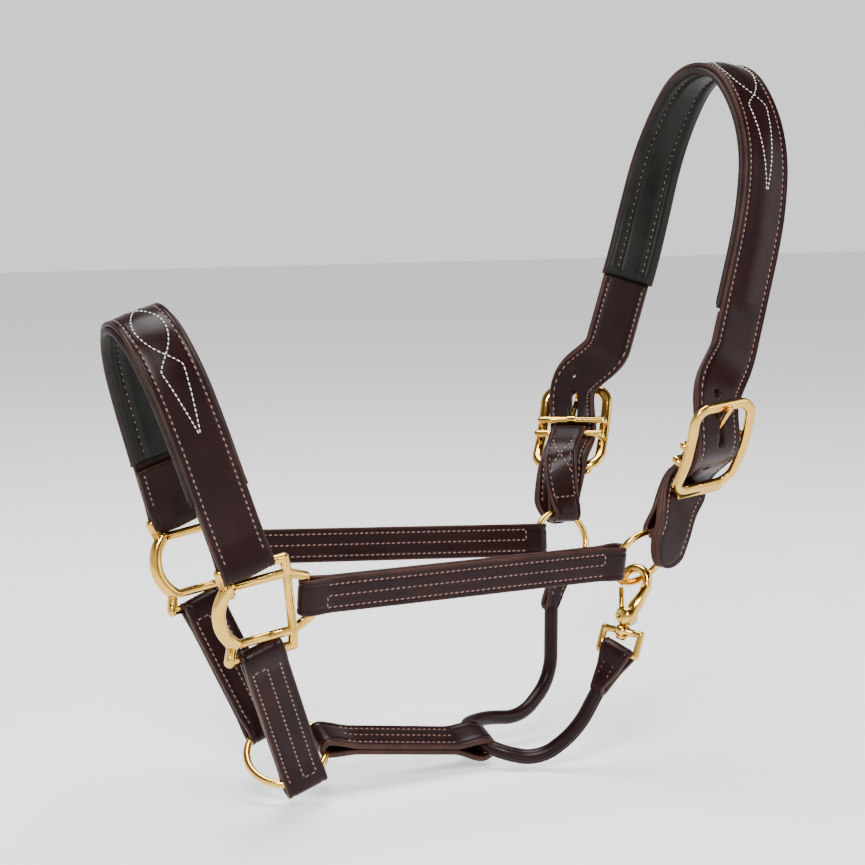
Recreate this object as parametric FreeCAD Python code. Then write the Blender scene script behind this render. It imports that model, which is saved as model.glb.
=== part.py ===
"""Leather headcollar: doubled leather straps, two padded bands, cast brass fittings.

Row frame: origin on the inside of the crown where it rests on the poll, +X from the
nose to the poll, +Y to the horse's off (right) side, +Z up.  Millimetres.
The collar stands as if on a head: the noseband arch in front, the crown arch behind,
level cheek straps between them and the throat strap below.
"""
import FreeCAD, Part
import math
import os

V = FreeCAD.Vector

# ---- leather -------------------------------------------------------------
PLY = 3.6                 # one thickness of strap leather
BAND_WIDTH = 38.0         # noseband and crown outer strap, 1 1/2 inch
LINING_WIDTH = 44.0       # soft padded lining, wider than its strap
LINING = 3.0
PADDING_WIDTH = 30.0
PADDING = 3.2
CHEEK_WIDTH = 25.4        # 1 inch cheek straps
CHIN_WIDTH = 31.0
CHAPE_WIDTH = 28.0
CHAPE_END_WIDTH = 23.0
CONNECTOR_WIDTH = 27.0
BILLET_BACKING_WIDTH = 36.0
FILLER = 1.6              # strip laid between the two plies of a strap
PLY_GAP = 0.05            # glue line between layers
TURN_BACK = 52.0          # noseband strap turned back inside its leg
HOLE_RADIUS = 2.6         # punched holes in the billets
HOLE_PITCH = 26.0
POINT_LENGTH = 17.0       # the billets' ends are pointed over this length

# ---- brass ---------------------------------------------------------------
RAIL_RADIUS = 2.6         # rails and bars of the squares
SQUARE_LENGTH = 43.0      # opening of a square along the cheek
SQUARE_HEIGHT = 37.0
TOP_RAIL_RISE = 11.0      # outer rail beyond the bar of the opening
REAR_RAIL_RISE = 13.0
NOSE_SIDE_RADIUS = 3.8    # the thick curved front side of a square
SIDE_RING_RADIUS = 22.5   # to the middle of the wire
SIDE_RING_WIRE = 2.6
LEAD_RING_RADIUS = 28.2
LEAD_RING_WIRE = 2.8
RING_CLEARANCE = 0.4
BUCKLE_WIDTH = 58.0       # to the outside of the frame
BUCKLE_HEIGHT = 79.0
BUCKLE_WIRE = 3.1
BUCKLE_BOW = 5.5          # how far the middle of the frame stands out
BUCKLE_CORNER = 12.0
PLATE_WIDTH = 40.0        # plain plate along the lower bar of the frame
PLATE_DROP = 6.5
PLATE_THICKNESS = 3.4
TONGUE_BAR_RADIUS = 2.0
TONGUE_BAR_RISE = 5.0     # above the middle of the frame
TONGUE_BAR_DEPTH = 8.0    # behind the middle of the frame
CHAPE_BAR_DROP = 10.0     # below the middle of the frame
CHAPE_BAR_DEPTH = 11.5
TONGUE_RADIUS = 2.1
TONGUE_WIDTH = 6.0
PIVOT_CLEARANCE = 0.05
TONGUE_LIFT = 12.0        # degrees the tongue can lift in its hole
EYE_HALF = 15.5           # half width of the snap's swivel eye
EYE_WIRE = 2.2
SNAP_WIRE = 3.2
BOW_RADIUS = 10.2
BOW_CENTRE = V(0.0, 0.0, 54.0)
SWIVEL_BAR = 16.0         # upper bar of the swivel eye above its lower bar
POST_RADIUS = 2.4
GATE_PIVOT = V(-3.6, 0.0, 27.5)
GATE_TOP = V(-9.6, 0.0, 46.4)
GATE_OPEN = 20.0           # degrees, inwards
SWIVEL_TURN = 4.0          # degrees each way while the hook is clipped to the ring
PIN_RADIUS = 1.4

# ---- places --------------------------------------------------------------
BILLET_MIDDLE = 15.6      # the billet passes this far behind the middle of the frame
BILLET_BULGE = 15.2       # and rises this much over the two bars
CHAPE_DEPTH = 24.4        # the chape passes this far behind the lower bar of the frame
BILLET_OVER_CHAPE = 9.4   # between the middles of the billet and the chape below the buckle
BILLET_OVER_FOLD = 12.0   # and over the chape's fold round the ring
STRAP_FORWARD = 4.0       # the noseband sits towards the front of its rail
LINING_END = {"near": -179.0, "off": -161.0}   # heights where the crown's lining stops
SIDES = {"near": -1.0, "off": 1.0}
CROWN_ROLL = -3.9                          # the crown leans to the off side
CROWN_LEAN = (18.4, 1.5)                   # backward lean of the legs, and at the top
CROWN_KNEE = 135.0                         # the legs lean evenly up to this height
CROWN_TWIST = {"near": 5.0, "off": -24.0}  # rear edge turned outwards down the legs
TWIST_REACH = 120.0                        # the twist is complete this far down
BUCKLE_CENTRE = {"near": V(-71.0, -112.0, -275.0), "off": V(-73.0, 82.0, -283.0)}
BUCKLE_UP = {"near": V(-0.05, -0.47, 0.88), "off": V(0.42, 0.46, 0.78)}
BUCKLE_REARWARD = {"near": V(0.99, 0.06, 0.10), "off": V(0.70, -0.71, 0.04)}
BILLET_PAST_RING = {"near": 26.0, "off": 8.0}     # the tips hang on past the ring wires
NOSE_BASE = V(-430.0, -19.5, -326.0)      # midway between the top rails of the squares
NOSE_ROLL = 5.0                            # the noseband leans to the near side
NOSE_LEAN = -18.9
SQUARE_UP = {"near": V(-0.16, -0.15, 0.975), "off": V(-0.16, 0.19, 0.970)}
SIDE_RING_CENTRE = {"near": V(-114.0, -79.0, -356.0), "off": V(-113.0, 33.0, -362.0)}
SIDE_RING_AXIS = {"near": V(-0.10, 0.90, 0.42), "off": V(-0.05, 0.93, -0.36)}
LEAD_RING_CENTRE = V(-374.0, -19.0, -484.0)
LEAD_RING_AXIS = V(-0.27, -0.51, 0.815)
SNAP_EYE = V(-130.0, -75.0, -427.0)
SNAP_FACING = V(0.778, 0.597, -0.194)     # about the normal of the hook's own plane
SNAP_TURN = -10.0                          # and the hook's turn from it about its own length

# Half outlines from the middle of the top, as (radius, sweep) turns or (0, length) runs.
CROWN_RUN = [(56.0, 45.0), (130.0, 36.0), (400.0, 6.5), (0.0, 157.0)]
BILLET_START = 70.0       # the billets leave the even outline this far above the buckles
NOSE_RUN = [(40.0, 48.0), (90.0, 28.0), (300.0, 7.0), (0.0, 80.0)]

# The rolled throat strap, from the off side ring to the snap.
THROAT_ROLL_RADIUS = 5.5
THROAT_CORE_RADIUS = 2.5
THROAT_ROUTE = [
    V(-124, 30, -409), V(-126, 27, -472), V(-160, 15, -496), V(-196, 10, -490),
    V(-226, -6, -489), V(-214, -36, -501), V(-184, -53, -508), V(-158, -64, -486),
    V(-141, -71, -450),
]
THROAT_END_WIDTH = 20.0
SNAP_END_WIDTH = 26.0

parts = {}


# ---- helpers -------------------------------------------------------------
def unit(v):
    return V(v).normalize()


def frame(origin, x_axis, y_hint):
    """Placement with local X along x_axis and local Y as near y_hint as it can be."""
    x = unit(x_axis)
    z = unit(x.cross(y_hint))
    y = z.cross(x)
    m = FreeCAD.Matrix(x.x, y.x, z.x, origin.x, x.y, y.y, z.y, origin.y,
                       x.z, y.z, z.z, origin.z, 0, 0, 0, 1)
    return FreeCAD.Placement(m)


def moved(shape, placement):
    copy = shape.copy()
    copy.Placement = placement.multiply(copy.Placement)
    return copy


def rod(a, b, radius, round_a=True, round_b=True):
    solid = Part.makeCylinder(radius, (b - a).Length, a, b - a)
    ends = [p for p, wanted in ((a, round_a), (b, round_b)) if wanted]
    return solid.fuse([Part.makeSphere(radius, p) for p in ends]) if ends else solid


def largest(shape):
    """The biggest solid of a cut, without the slips a cut can leave behind."""
    return max(shape.Solids, key=lambda solid: solid.Volume)


def torus(radius, wire, centre, axis):
    return Part.makeTorus(radius, wire, centre, unit(axis))


def prism(points, direction):
    return Part.Face(Part.makePolygon(points + [points[0]])).extrude(direction)


def route_wire(points):
    """Straight runs joined by tangent arcs, each as large as its two runs allow."""
    edges = []
    radii = []
    start = points[0]
    for before, corner, after in zip(points, points[1:], points[2:]):
        a = unit(before - corner)
        b = unit(after - corner)
        half_turn = (math.pi - a.getAngle(b)) / 2
        setback = 0.45 * min((before - corner).Length, (after - corner).Length)
        radius = setback / math.tan(half_turn)
        middle = corner + unit(a + b) * (radius / math.cos(half_turn) - radius)
        first = corner + a * setback
        last = corner + b * setback
        edges.append(Part.LineSegment(start, first).toShape())
        edges.append(Part.Arc(first, middle, last).toShape())
        radii.append(radius)
        start = last
    edges.append(Part.LineSegment(start, points[-1]).toShape())
    return Part.Wire(edges), radii


def tube(wire, radius):
    start = wire.Edges[0]
    direction = start.tangentAt(start.FirstParameter)
    section = Part.Wire(Part.makeCircle(radius, start.valueAt(start.FirstParameter), direction))
    return wire.makePipeShell([section], True, False)


# ---- ribbons: a flat outline bent to lean, given as stations -------------
def half_outline(run, step=6.0):
    """Stations (across, down, heading) along a half outline, from the top outwards."""
    stations = [(0.0, 0.0, 0.0)]
    across, down, heading = 0.0, 0.0, 0.0
    for radius, amount in run:
        length = math.radians(amount) * radius if radius else amount
        pieces = max(1, round(length / step))
        for _ in range(pieces):
            turn = math.radians(amount) / pieces if radius else 0.0
            chord = 2 * radius * math.sin(turn / 2) if radius else length / pieces
            across += chord * math.cos(heading + turn / 2)
            down += chord * math.sin(heading + turn / 2)
            heading += turn
            stations.append((across, down, heading))
    return stations


def lean_point(height, total, lean, knee):
    """Shift, rise and lean after climbing `height`: even up to the knee, then a circular arc."""
    low, high = (math.radians(a) for a in lean)
    straight = min(height, knee)
    shift, rise, angle = straight * math.sin(low), straight * math.cos(low), low
    if height > knee:
        rate = (high - low) / (total - knee)
        angle = low + rate * (height - knee)
        shift += (math.cos(low) - math.cos(angle)) / rate
        rise += (math.sin(angle) - math.sin(low)) / rate
    return shift, rise, angle


def ribbon(run, side, roll, lean, total, knee=math.inf, twist=0.0):
    """Stations (point, outward normal, width direction, tangent) down one side."""
    rolled = FreeCAD.Rotation(V(1, 0, 0), roll)
    result = []
    for across, down, heading in half_outline(run):
        shift, rise, angle = lean_point(total - down, total, lean, knee)
        out = V(0, math.sin(heading) * side, 0) + V(math.sin(angle), 0, math.cos(angle)) * math.cos(heading)
        along = V(0, math.cos(heading) * side, 0) - V(math.sin(angle), 0, math.cos(angle)) * math.sin(heading)
        width = V(math.cos(angle), 0, -math.sin(angle))
        turn = FreeCAD.Rotation(along, -side * twist * min(down / TWIST_REACH, 1.0))
        out = turn.multVec(out)
        width = turn.multVec(width)
        point = V(shift, across * side, rise)
        result.append(tuple(rolled.multVec(v) for v in (point, out, width, along)))
    return result


def shifted(stations, base):
    return [(point + base, out, width, along) for point, out, width, along in stations]


def band(stations, width, low, high):
    """Solid strap through the stations, between two heights along the normal."""
    wires = []
    for point, out, across, _ in stations:
        half = across * (width / 2)
        ring = [point - half + out * low, point + half + out * low,
                point + half + out * high, point - half + out * high]
        wires.append(Part.makePolygon(ring + [ring[0]]))
    return Part.makeLoft(wires, True, True)


def both_sides(make):
    """Stations from the near end over the top to the off end."""
    near = make(SIDES["near"])
    off = make(SIDES["off"])
    turned = [(p, o, w, a * -1) for p, o, w, a in reversed(near)]
    return turned[:-1] + off


def doubled_strap(length, widths, eyes, reach=(0.0, 0.0)):
    """Strap folded round a bar at each end: local X along, Y across, Z through.

    widths and eyes (bar radii) are for the two ends; reach carries the fold on past
    each bar, for a bar that curves away.  Returns the leather and its filler strip.
    """
    half = PLY + FILLER / 2
    bars = [eye + PLY for eye in eyes]
    widest = max(widths)
    ends = (-reach[0], length + reach[1])
    taper = min(18.0, length * 0.3)
    side = [V(ends[0], 0, bars[0]), V(taper, 0, half),
            V(length - taper, 0, half), V(ends[1], 0, bars[1])]
    outline = side + [V(p.x, 0, -p.z) for p in reversed(side)]
    leather = prism(outline, V(0, widest, 0))
    leather.translate(V(0, -widest / 2, 0))
    for x, radius in zip(ends, bars):
        leather = leather.fuse(Part.makeCylinder(radius, widest, V(x, -widest / 2, 0), V(0, 1, 0)))
    far = max(bars) + 1
    plan = [V(ends[0] - far, -widths[0] / 2, -far), V(taper, -widths[0] / 2, -far),
            V(length - taper, -widths[1] / 2, -far), V(ends[1] + far, -widths[1] / 2, -far)]
    plan += [V(p.x, -p.y, p.z) for p in reversed(plan)]
    leather = leather.common(prism(plan, V(0, 0, 2 * far)))
    margin = 5.0
    inner = min(widths) - 2 * margin
    start = taper
    filler = Part.makeBox(length - 2 * start, inner, FILLER, V(start, -inner / 2, -FILLER / 2))
    pocket = Part.makeBox(length - 2 * start + 2 * PLY_GAP, inner + 2 * PLY_GAP, FILLER + 2 * PLY_GAP,
                          V(start - PLY_GAP, -inner / 2 - PLY_GAP, -FILLER / 2 - PLY_GAP))
    return leather.cut(pocket).removeSplitter(), filler


def curved_strap(stations, widths, eyes, reach):
    """Strap folded round a bar at each end and bent along the stations between them."""
    length = (stations[-1][0] - stations[0][0]).Length
    half = PLY + FILLER / 2
    taper = 18.0
    first = stations[0][0]
    last = stations[-1][0]
    past = stations[-1][3] * reach
    path = stations + [(last + past,) + stations[-1][1:]]
    wires = []
    for point, out, across, _ in path:
        a = (point - first).Length
        b = (last - point).Length
        thick = max([half] + [half + (eye + PLY - half) * (1 - run / taper)
                              for eye, run in zip(eyes, (a, b))])
        share = min(a / length, 1.0)
        side = across * ((widths[0] * (1 - share) + widths[1] * share) / 2)
        ring = [point - side - out * thick, point + side - out * thick,
                point + side + out * thick, point - side + out * thick]
        wires.append(Part.makePolygon(ring + [ring[0]]))
    leather = Part.makeLoft(wires, True, True)
    for (point, _, across, _), eye, width in zip((path[0], path[-1]), eyes, widths):
        fold = width - 0.4
        leather = leather.fuse(Part.makeCylinder(eye + PLY, fold, point - across * (fold / 2), across))
    inner = [s for s in stations if min((s[0] - first).Length, (last - s[0]).Length) > taper]
    narrow = min(widths) - 10.0
    filler = band(inner, narrow, -FILLER / 2, FILLER / 2)
    early = (inner[0][0] - inner[0][3] * PLY_GAP,) + inner[0][1:]
    late = (inner[-1][0] + inner[-1][3] * PLY_GAP,) + inner[-1][1:]
    pocket = band([early] + inner[1:-1] + [late], narrow + 2 * PLY_GAP, -FILLER / 2 - PLY_GAP,
                  FILLER / 2 + PLY_GAP)
    return leather.cut(pocket), filler


# ---- crown: outer strap, padding, lining and billets ---------------------
frame_half_width = BUCKLE_WIDTH / 2 - BUCKLE_WIRE
frame_half_height = BUCKLE_HEIGHT / 2 - BUCKLE_WIRE
bow_radius = (frame_half_height ** 2 + BUCKLE_BOW ** 2) / (2 * BUCKLE_BOW)

crown_drop = half_outline(CROWN_RUN)[-1][1]
buckle_frames = {name: frame(BUCKLE_CENTRE[name], BUCKLE_REARWARD[name] * -side, BUCKLE_UP[name])
                 for name, side in SIDES.items()}


def crown_leg(side):
    twist = CROWN_TWIST["near" if side < 0 else "off"]
    return ribbon(CROWN_RUN, side, CROWN_ROLL, CROWN_LEAN, crown_drop, CROWN_KNEE, twist)


top_point, top_out, _, _ = crown_leg(1.0)[0]
crown_base = (top_out * (PADDING + LINING + 2 * PLY_GAP)) - top_point   # the poll is the origin


def spline_stations(knots, widths, side, start=None, step=6.0):
    """Stations along a smooth curve through the knots, the width direction blending between them."""
    curve = Part.BSplineCurve()
    if start is None:
        start = knots[1] - knots[0]
    curve.interpolate(Points=knots, InitialTangent=unit(start), FinalTangent=unit(knots[-1] - knots[-2]))
    marks = [curve.parameter(knot) for knot in knots]
    stations = []
    for point in curve.discretize(Number=round(curve.length() / step) + 1):
        u = curve.parameter(point)
        index = max(i for i in range(len(marks) - 1) if marks[i] <= u + 1e-9)
        share = (u - marks[index]) / (marks[index + 1] - marks[index])
        along = unit(curve.tangent(u)[0])
        width = widths[index] * (1 - share) + widths[index + 1] * share
        width = unit(width - along * width.dot(along))
        stations.append((point, width.cross(along) * side, width, along))
    return stations


def wire_point(centre, axis, radius, toward):
    """Point of a ring's wire nearest to a direction."""
    n = unit(axis)
    return centre + unit(toward - n * toward.dot(n)) * radius


# Each chape leaves its bar inwards, under the billet, and curves out to its ring.
chape_stations = {}
for name, side in SIDES.items():
    buckle = buckle_frames[name]
    bar = buckle.multVec(V(0, -CHAPE_BAR_DROP, -CHAPE_BAR_DEPTH))
    low = wire_point(SIDE_RING_CENTRE[name], SIDE_RING_AXIS[name], SIDE_RING_RADIUS,
                     bar - SIDE_RING_CENTRE[name])
    under = buckle.multVec(V(0, -frame_half_height, -CHAPE_DEPTH))
    across = buckle.Rotation.multVec(V(-side, 0, 0))
    ring_across = unit(SIDE_RING_AXIS[name].cross(bar - low))
    chape_stations[name] = spline_stations([bar, under, low], [across, across, ring_across], side)


def billet(name, start):
    """Stations from the leg through the buckle to the tip of the billet."""
    side = SIDES[name]
    buckle = buckle_frames[name]
    across = buckle.Rotation.multVec(V(-side, 0, 0))
    heights = [(frame_half_height, 0.0), (0.0, BILLET_BULGE), (-frame_half_height, 0.0)]
    knots = [start[0]] + [buckle.multVec(V(0, y, bulge - BILLET_MIDDLE)) for y, bulge in heights]
    chape = chape_stations[name]
    halfway = chape[len(chape) * 2 // 3]
    end = chape[-1]
    knots.append(halfway[0] + halfway[1] * BILLET_OVER_CHAPE)
    knots.append(end[0] + end[1] * BILLET_OVER_FOLD)
    knots.append(knots[-1] + end[3] * BILLET_PAST_RING[name])
    widths = [start[2], across, across, across, halfway[2], end[2], end[2]]
    return spline_stations(knots, widths, side, start[3])[1:]


def crown_side(side):
    name = "near" if side < 0 else "off"
    leg = shifted(crown_leg(side), crown_base)
    end = leg[-1][0]
    leg = [s for s in leg if (s[0] - end).Length >= BILLET_START]
    return leg + billet(name, leg[-1])


crown_stations = both_sides(crown_side)


crown_outer = band(crown_stations, BAND_WIDTH, 0.0, PLY)
crown_top = [s for s in crown_stations if s[0].z > LINING_END["near" if s[0].y < 0 else "off"]]
crown_padding = band(crown_top, PADDING_WIDTH, -PADDING - PLY_GAP, -PLY_GAP)
crown_lining = band(crown_top, LINING_WIDTH, -PADDING - LINING - 2 * PLY_GAP, -PADDING - 2 * PLY_GAP)
middle = len(crown_stations) // 2
backings = {}
billet_cutters = {}        # room for the billets in the chapes behind them
for name in SIDES:
    half = crown_stations[:middle] if name == "near" else crown_stations[middle:]
    leg = [s for s in half if s[0].z <= LINING_END[name] - 2.0]
    backings[name] = band(leg, BILLET_BACKING_WIDTH, -PLY - PLY_GAP, -PLY_GAP)
    billet_cutters[name] = band(leg, BAND_WIDTH + 0.6, -PLY - 0.4, 0.3)

# ---- buckles -------------------------------------------------------------


def buckle_path():
    """Rounded rectangle whose long sides bow outwards (local Z)."""
    reach = math.hypot(bow_radius, BUCKLE_CORNER)
    swing = math.asin(frame_half_height / reach) - math.atan2(BUCKLE_CORNER, bow_radius)
    y = bow_radius * math.sin(swing)
    z = bow_radius * (math.cos(swing) - 1)
    slope = V(0, math.cos(swing), -math.sin(swing))
    inner = frame_half_width - BUCKLE_CORNER
    edges = []
    for turn in (1, -1):
        flip = V(turn, turn, 1)

        def at(x, y_, z_):
            return V(x * flip.x, y_ * flip.y, z_)

        low, bow, high = at(frame_half_width, -y, z), at(frame_half_width, 0, 0), at(frame_half_width, y, z)
        centre = V(inner, y, z)
        diagonal = centre + (V(1, 0, 0) + slope) * (BUCKLE_CORNER / math.sqrt(2))
        end = V(inner, 0, 0) + V(0, y, z) + slope * BUCKLE_CORNER
        edges.append(Part.Arc(low, bow, high).toShape())
        edges.append(Part.Arc(high, at(diagonal.x, diagonal.y, diagonal.z), at(end.x, end.y, end.z)).toShape())
        edges.append(Part.LineSegment(at(end.x, end.y, end.z), at(-end.x, end.y, end.z)).toShape())
        edges.append(Part.Arc(at(-end.x, end.y, end.z), at(-diagonal.x, diagonal.y, diagonal.z),
                              at(-high.x * turn, y, z)).toShape())
    return Part.Wire(Part.__sortEdges__(edges)), end


frame_path, bar_end = buckle_path()


def buckle_bar(rise, depth):
    a = V(-frame_half_width, rise, -depth)
    b = V(frame_half_width, rise, -depth)
    side_z = math.sqrt(bow_radius ** 2 - rise ** 2) - bow_radius
    bar = rod(a, b, TONGUE_BAR_RADIUS)
    for end in (a, b):
        bar = bar.fuse(rod(V(end.x, rise, side_z), end, TONGUE_BAR_RADIUS))
    return bar


def lower_plate(grow=0.0):
    """Rounded plate hanging from the lower bar of the frame; grow makes room for it in the leather."""
    plate = Part.makeBox(PLATE_WIDTH + 2 * grow, PLATE_DROP + 3 + grow, PLATE_THICKNESS + grow,
                         V(-PLATE_WIDTH / 2 - grow, -PLATE_DROP - grow, -PLATE_THICKNESS / 2 - grow))
    if not grow:
        plate = plate.makeFillet(PLATE_THICKNESS * 0.45, plate.Edges)
    return moved(plate, frame(V(0, -bar_end.y, bar_end.z + 0.9), V(1, 0, 0), V(0, 1, 0.12)))


buckle_shape = tube(frame_path, BUCKLE_WIRE)
buckle_shape = buckle_shape.fuse([buckle_bar(TONGUE_BAR_RISE, TONGUE_BAR_DEPTH),
                                  buckle_bar(-CHAPE_BAR_DROP, CHAPE_BAR_DEPTH), lower_plate()])
tongue_bar = V(0, TONGUE_BAR_RISE, -TONGUE_BAR_DEPTH)
tongue_tip = V(0, frame_half_height + 2.0, bar_end.z + BUCKLE_WIRE + TONGUE_RADIUS + 1.0)


def tongue_at(lift, grow=0.0):
    """The tongue lifted by some degrees; grow fattens it, for the hole it works in."""
    knuckle = Part.makeCylinder(TONGUE_BAR_RADIUS + 1.7 + grow, TONGUE_WIDTH + 2 * grow,
                                tongue_bar - V(TONGUE_WIDTH / 2 + grow, 0, 0), V(1, 0, 0))
    solid = knuckle.fuse(rod(tongue_bar, tongue_tip, TONGUE_RADIUS + grow, False, True))
    bore = Part.makeCylinder(TONGUE_BAR_RADIUS + PIVOT_CLEARANCE, 2 * TONGUE_WIDTH,
                             tongue_bar - V(TONGUE_WIDTH, 0, 0), V(1, 0, 0))
    if not grow:
        solid = solid.cut(bore)
    solid.rotate(tongue_bar, V(1, 0, 0), lift)
    return solid


tongue = tongue_at(0.0)
tongue_hole = tongue_at(0.0, 0.45).fuse([tongue_at(TONGUE_LIFT / 2, 0.45), tongue_at(TONGUE_LIFT, 0.45)])

# ---- crown leather, punched ----------------------------------------------
def punched_holes(placement):
    """Holes up the billet from the buckle, square through the leather."""
    holes = []
    for index in range(1, 3):
        rise = TONGUE_BAR_RISE + 9.0 + index * HOLE_PITCH
        holes.append(Part.makeCylinder(HOLE_RADIUS, 60, V(0, rise, -40), V(0, 0, 1)))
    low = Part.makeCylinder(HOLE_RADIUS, 12, V(0, -19.0, -20), V(0, 0, 1))
    return [moved(hole, placement) for hole in holes + [low]]


def point_cutters(tip):
    """The two corners taken off a billet's end to point it."""
    point, out, across, along = tip
    corners = []
    for hand in (across, across * -1):
        edge = hand * (BAND_WIDTH / 2 + 1)
        corner = [point + edge - along * POINT_LENGTH, point + edge + along * 3, point + hand * 3 + along * 3]
        corners.append(prism([c - out * 12 for c in corner], out * 24))
    return corners


for name in SIDES:
    placement = buckle_frames[name]
    cutters = punched_holes(placement) + [moved(tongue_hole, placement), moved(lower_plate(0.4), placement)]
    tip = crown_stations[0] if name == "near" else crown_stations[-1]
    if name == "near":
        tip = (tip[0], tip[1], tip[2], tip[3] * -1)
    cutters += point_cutters(tip)
    crown_outer = crown_outer.cut(cutters)
    backings[name] = backings[name].cut(cutters)
    parts[name + "_buckle_frame"] = moved(buckle_shape, placement)
    parts[name + "_buckle_tongue"] = moved(tongue, placement)
    parts[name + "_billet_backing"] = backings[name]
parts["crown_strap"] = crown_outer
parts["crown_padding"] = crown_padding
parts["crown_lining"] = crown_lining

# ---- rings ---------------------------------------------------------------
ring_cutters = {}
for name in SIDES:
    parts[name + "_side_ring"] = torus(SIDE_RING_RADIUS, SIDE_RING_WIRE, SIDE_RING_CENTRE[name],
                                       SIDE_RING_AXIS[name])
    ring_cutters[name] = torus(SIDE_RING_RADIUS, SIDE_RING_WIRE + RING_CLEARANCE,
                               SIDE_RING_CENTRE[name], SIDE_RING_AXIS[name])
parts["lead_ring"] = torus(LEAD_RING_RADIUS, LEAD_RING_WIRE, LEAD_RING_CENTRE, LEAD_RING_AXIS)
lead_cutter = torus(LEAD_RING_RADIUS, LEAD_RING_WIRE + RING_CLEARANCE, LEAD_RING_CENTRE, LEAD_RING_AXIS)

# ---- noseband ------------------------------------------------------------
nose_drop = half_outline(NOSE_RUN)[-1][1]


def nose_side(side):
    return shifted(ribbon(NOSE_RUN, side, NOSE_ROLL, (NOSE_LEAN, NOSE_LEAN), nose_drop), NOSE_BASE)


nose_stations = both_sides(nose_side)
rail_ends = {"near": nose_stations[0], "off": nose_stations[-1]}
nose_outer = band(nose_stations, BAND_WIDTH, 0.0, PLY)
lined = [s for s in nose_stations
         if min((s[0] - rail_ends[n][0]).Length for n in SIDES) > TURN_BACK]
parts["noseband_padding"] = band(lined, PADDING_WIDTH, -PADDING - PLY_GAP, -PLY_GAP)
parts["noseband_lining"] = band(lined, LINING_WIDTH, -PADDING - LINING - 2 * PLY_GAP,
                                -PADDING - 2 * PLY_GAP)
rail_hole = RAIL_RADIUS + 0.1
fold_radius = rail_hole + PLY
for name in SIDES:
    point, out, across, along = rail_ends[name]
    down = along if name == "off" else along * -1
    turned = [s for s in nose_stations if (s[0] - point).Length <= TURN_BACK - 4.0]
    nose_outer = nose_outer.fuse(band(turned, BAND_WIDTH, -PLY, 0.0))
    rail_axis = across
    fold_width = BAND_WIDTH - 0.4
    fold = Part.makeCylinder(fold_radius, fold_width, point - rail_axis * (fold_width / 2), rail_axis)
    cheeks = [point + out * fold_radius, point - down * 22 + out * PLY,
              point - down * 22 - out * PLY, point - out * fold_radius]
    wedge = prism([c - rail_axis * (fold_width / 2) for c in cheeks], rail_axis * fold_width)
    nose_outer = nose_outer.fuse([fold, wedge])

# ---- squares -------------------------------------------------------------
def square_shape():
    """Opening with three outer rails; local origin in the middle of the opening."""
    w = SQUARE_LENGTH / 2 + RAIL_RADIUS
    h = SQUARE_HEIGHT / 2 + RAIL_RADIUS
    top = h + TOP_RAIL_RISE
    rear = w + REAR_RAIL_RISE
    r = RAIL_RADIUS
    bars = [rod(V(-w + 7, h, 0), V(w, h, 0), r), rod(V(-w + 7, -h, 0), V(w, -h, 0), r),
            rod(V(w, -h, 0), V(w, h, 0), r)]
    nose = NOSE_SIDE_RADIUS
    side = Part.Wire([Part.Arc(V(-w + 7, h, 0), V(-w - 3, 0, 0), V(-w + 7, -h, 0)).toShape()])
    bars.append(tube(side, nose))
    bars += [Part.makeSphere(nose, V(-w + 7, h, 0)), Part.makeSphere(nose, V(-w + 7, -h, 0))]
    for sign in (1, -1):
        front = V(-w + 1, sign * top, 0)
        back = V(w - 1, sign * top, 0)
        bars += [rod(front, back, r), rod(V(-w + 4, sign * h, 0), front, r + 0.5),
                 rod(V(w, sign * h, 0), back, r + 0.2)]
    bars += [rod(V(rear, -h + 6, 0), V(rear, h - 6, 0), r), rod(V(w, h, 0), V(rear, h - 6, 0), r),
             rod(V(w, -h, 0), V(rear, -h + 6, 0), r)]
    return bars[0].fuse(bars[1:]), V(0, top, 0), V(0, -top, 0), V(rear, 0, 0)


square, top_rail, bottom_rail, rear_rail = square_shape()
square_frames = {}
for name in SIDES:
    up = unit(SQUARE_UP[name])
    along = unit(V(1, 0, 0) - up * up.x)
    placement = frame(V(0, 0, 0), along, up)
    placement.Base = rail_ends[name][0] - placement.Rotation.multVec(top_rail - V(STRAP_FORWARD, 0, 0))
    square_frames[name] = placement
    parts[name + "_square"] = moved(square, placement)
    past = V(30, 0, 0)
    hole = rod(placement.multVec(top_rail - past), placement.multVec(top_rail + past), rail_hole)
    nose_outer = nose_outer.cut(hole)
parts["noseband_strap"] = nose_outer.cut([parts["near_square"], parts["off_square"]])

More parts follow.
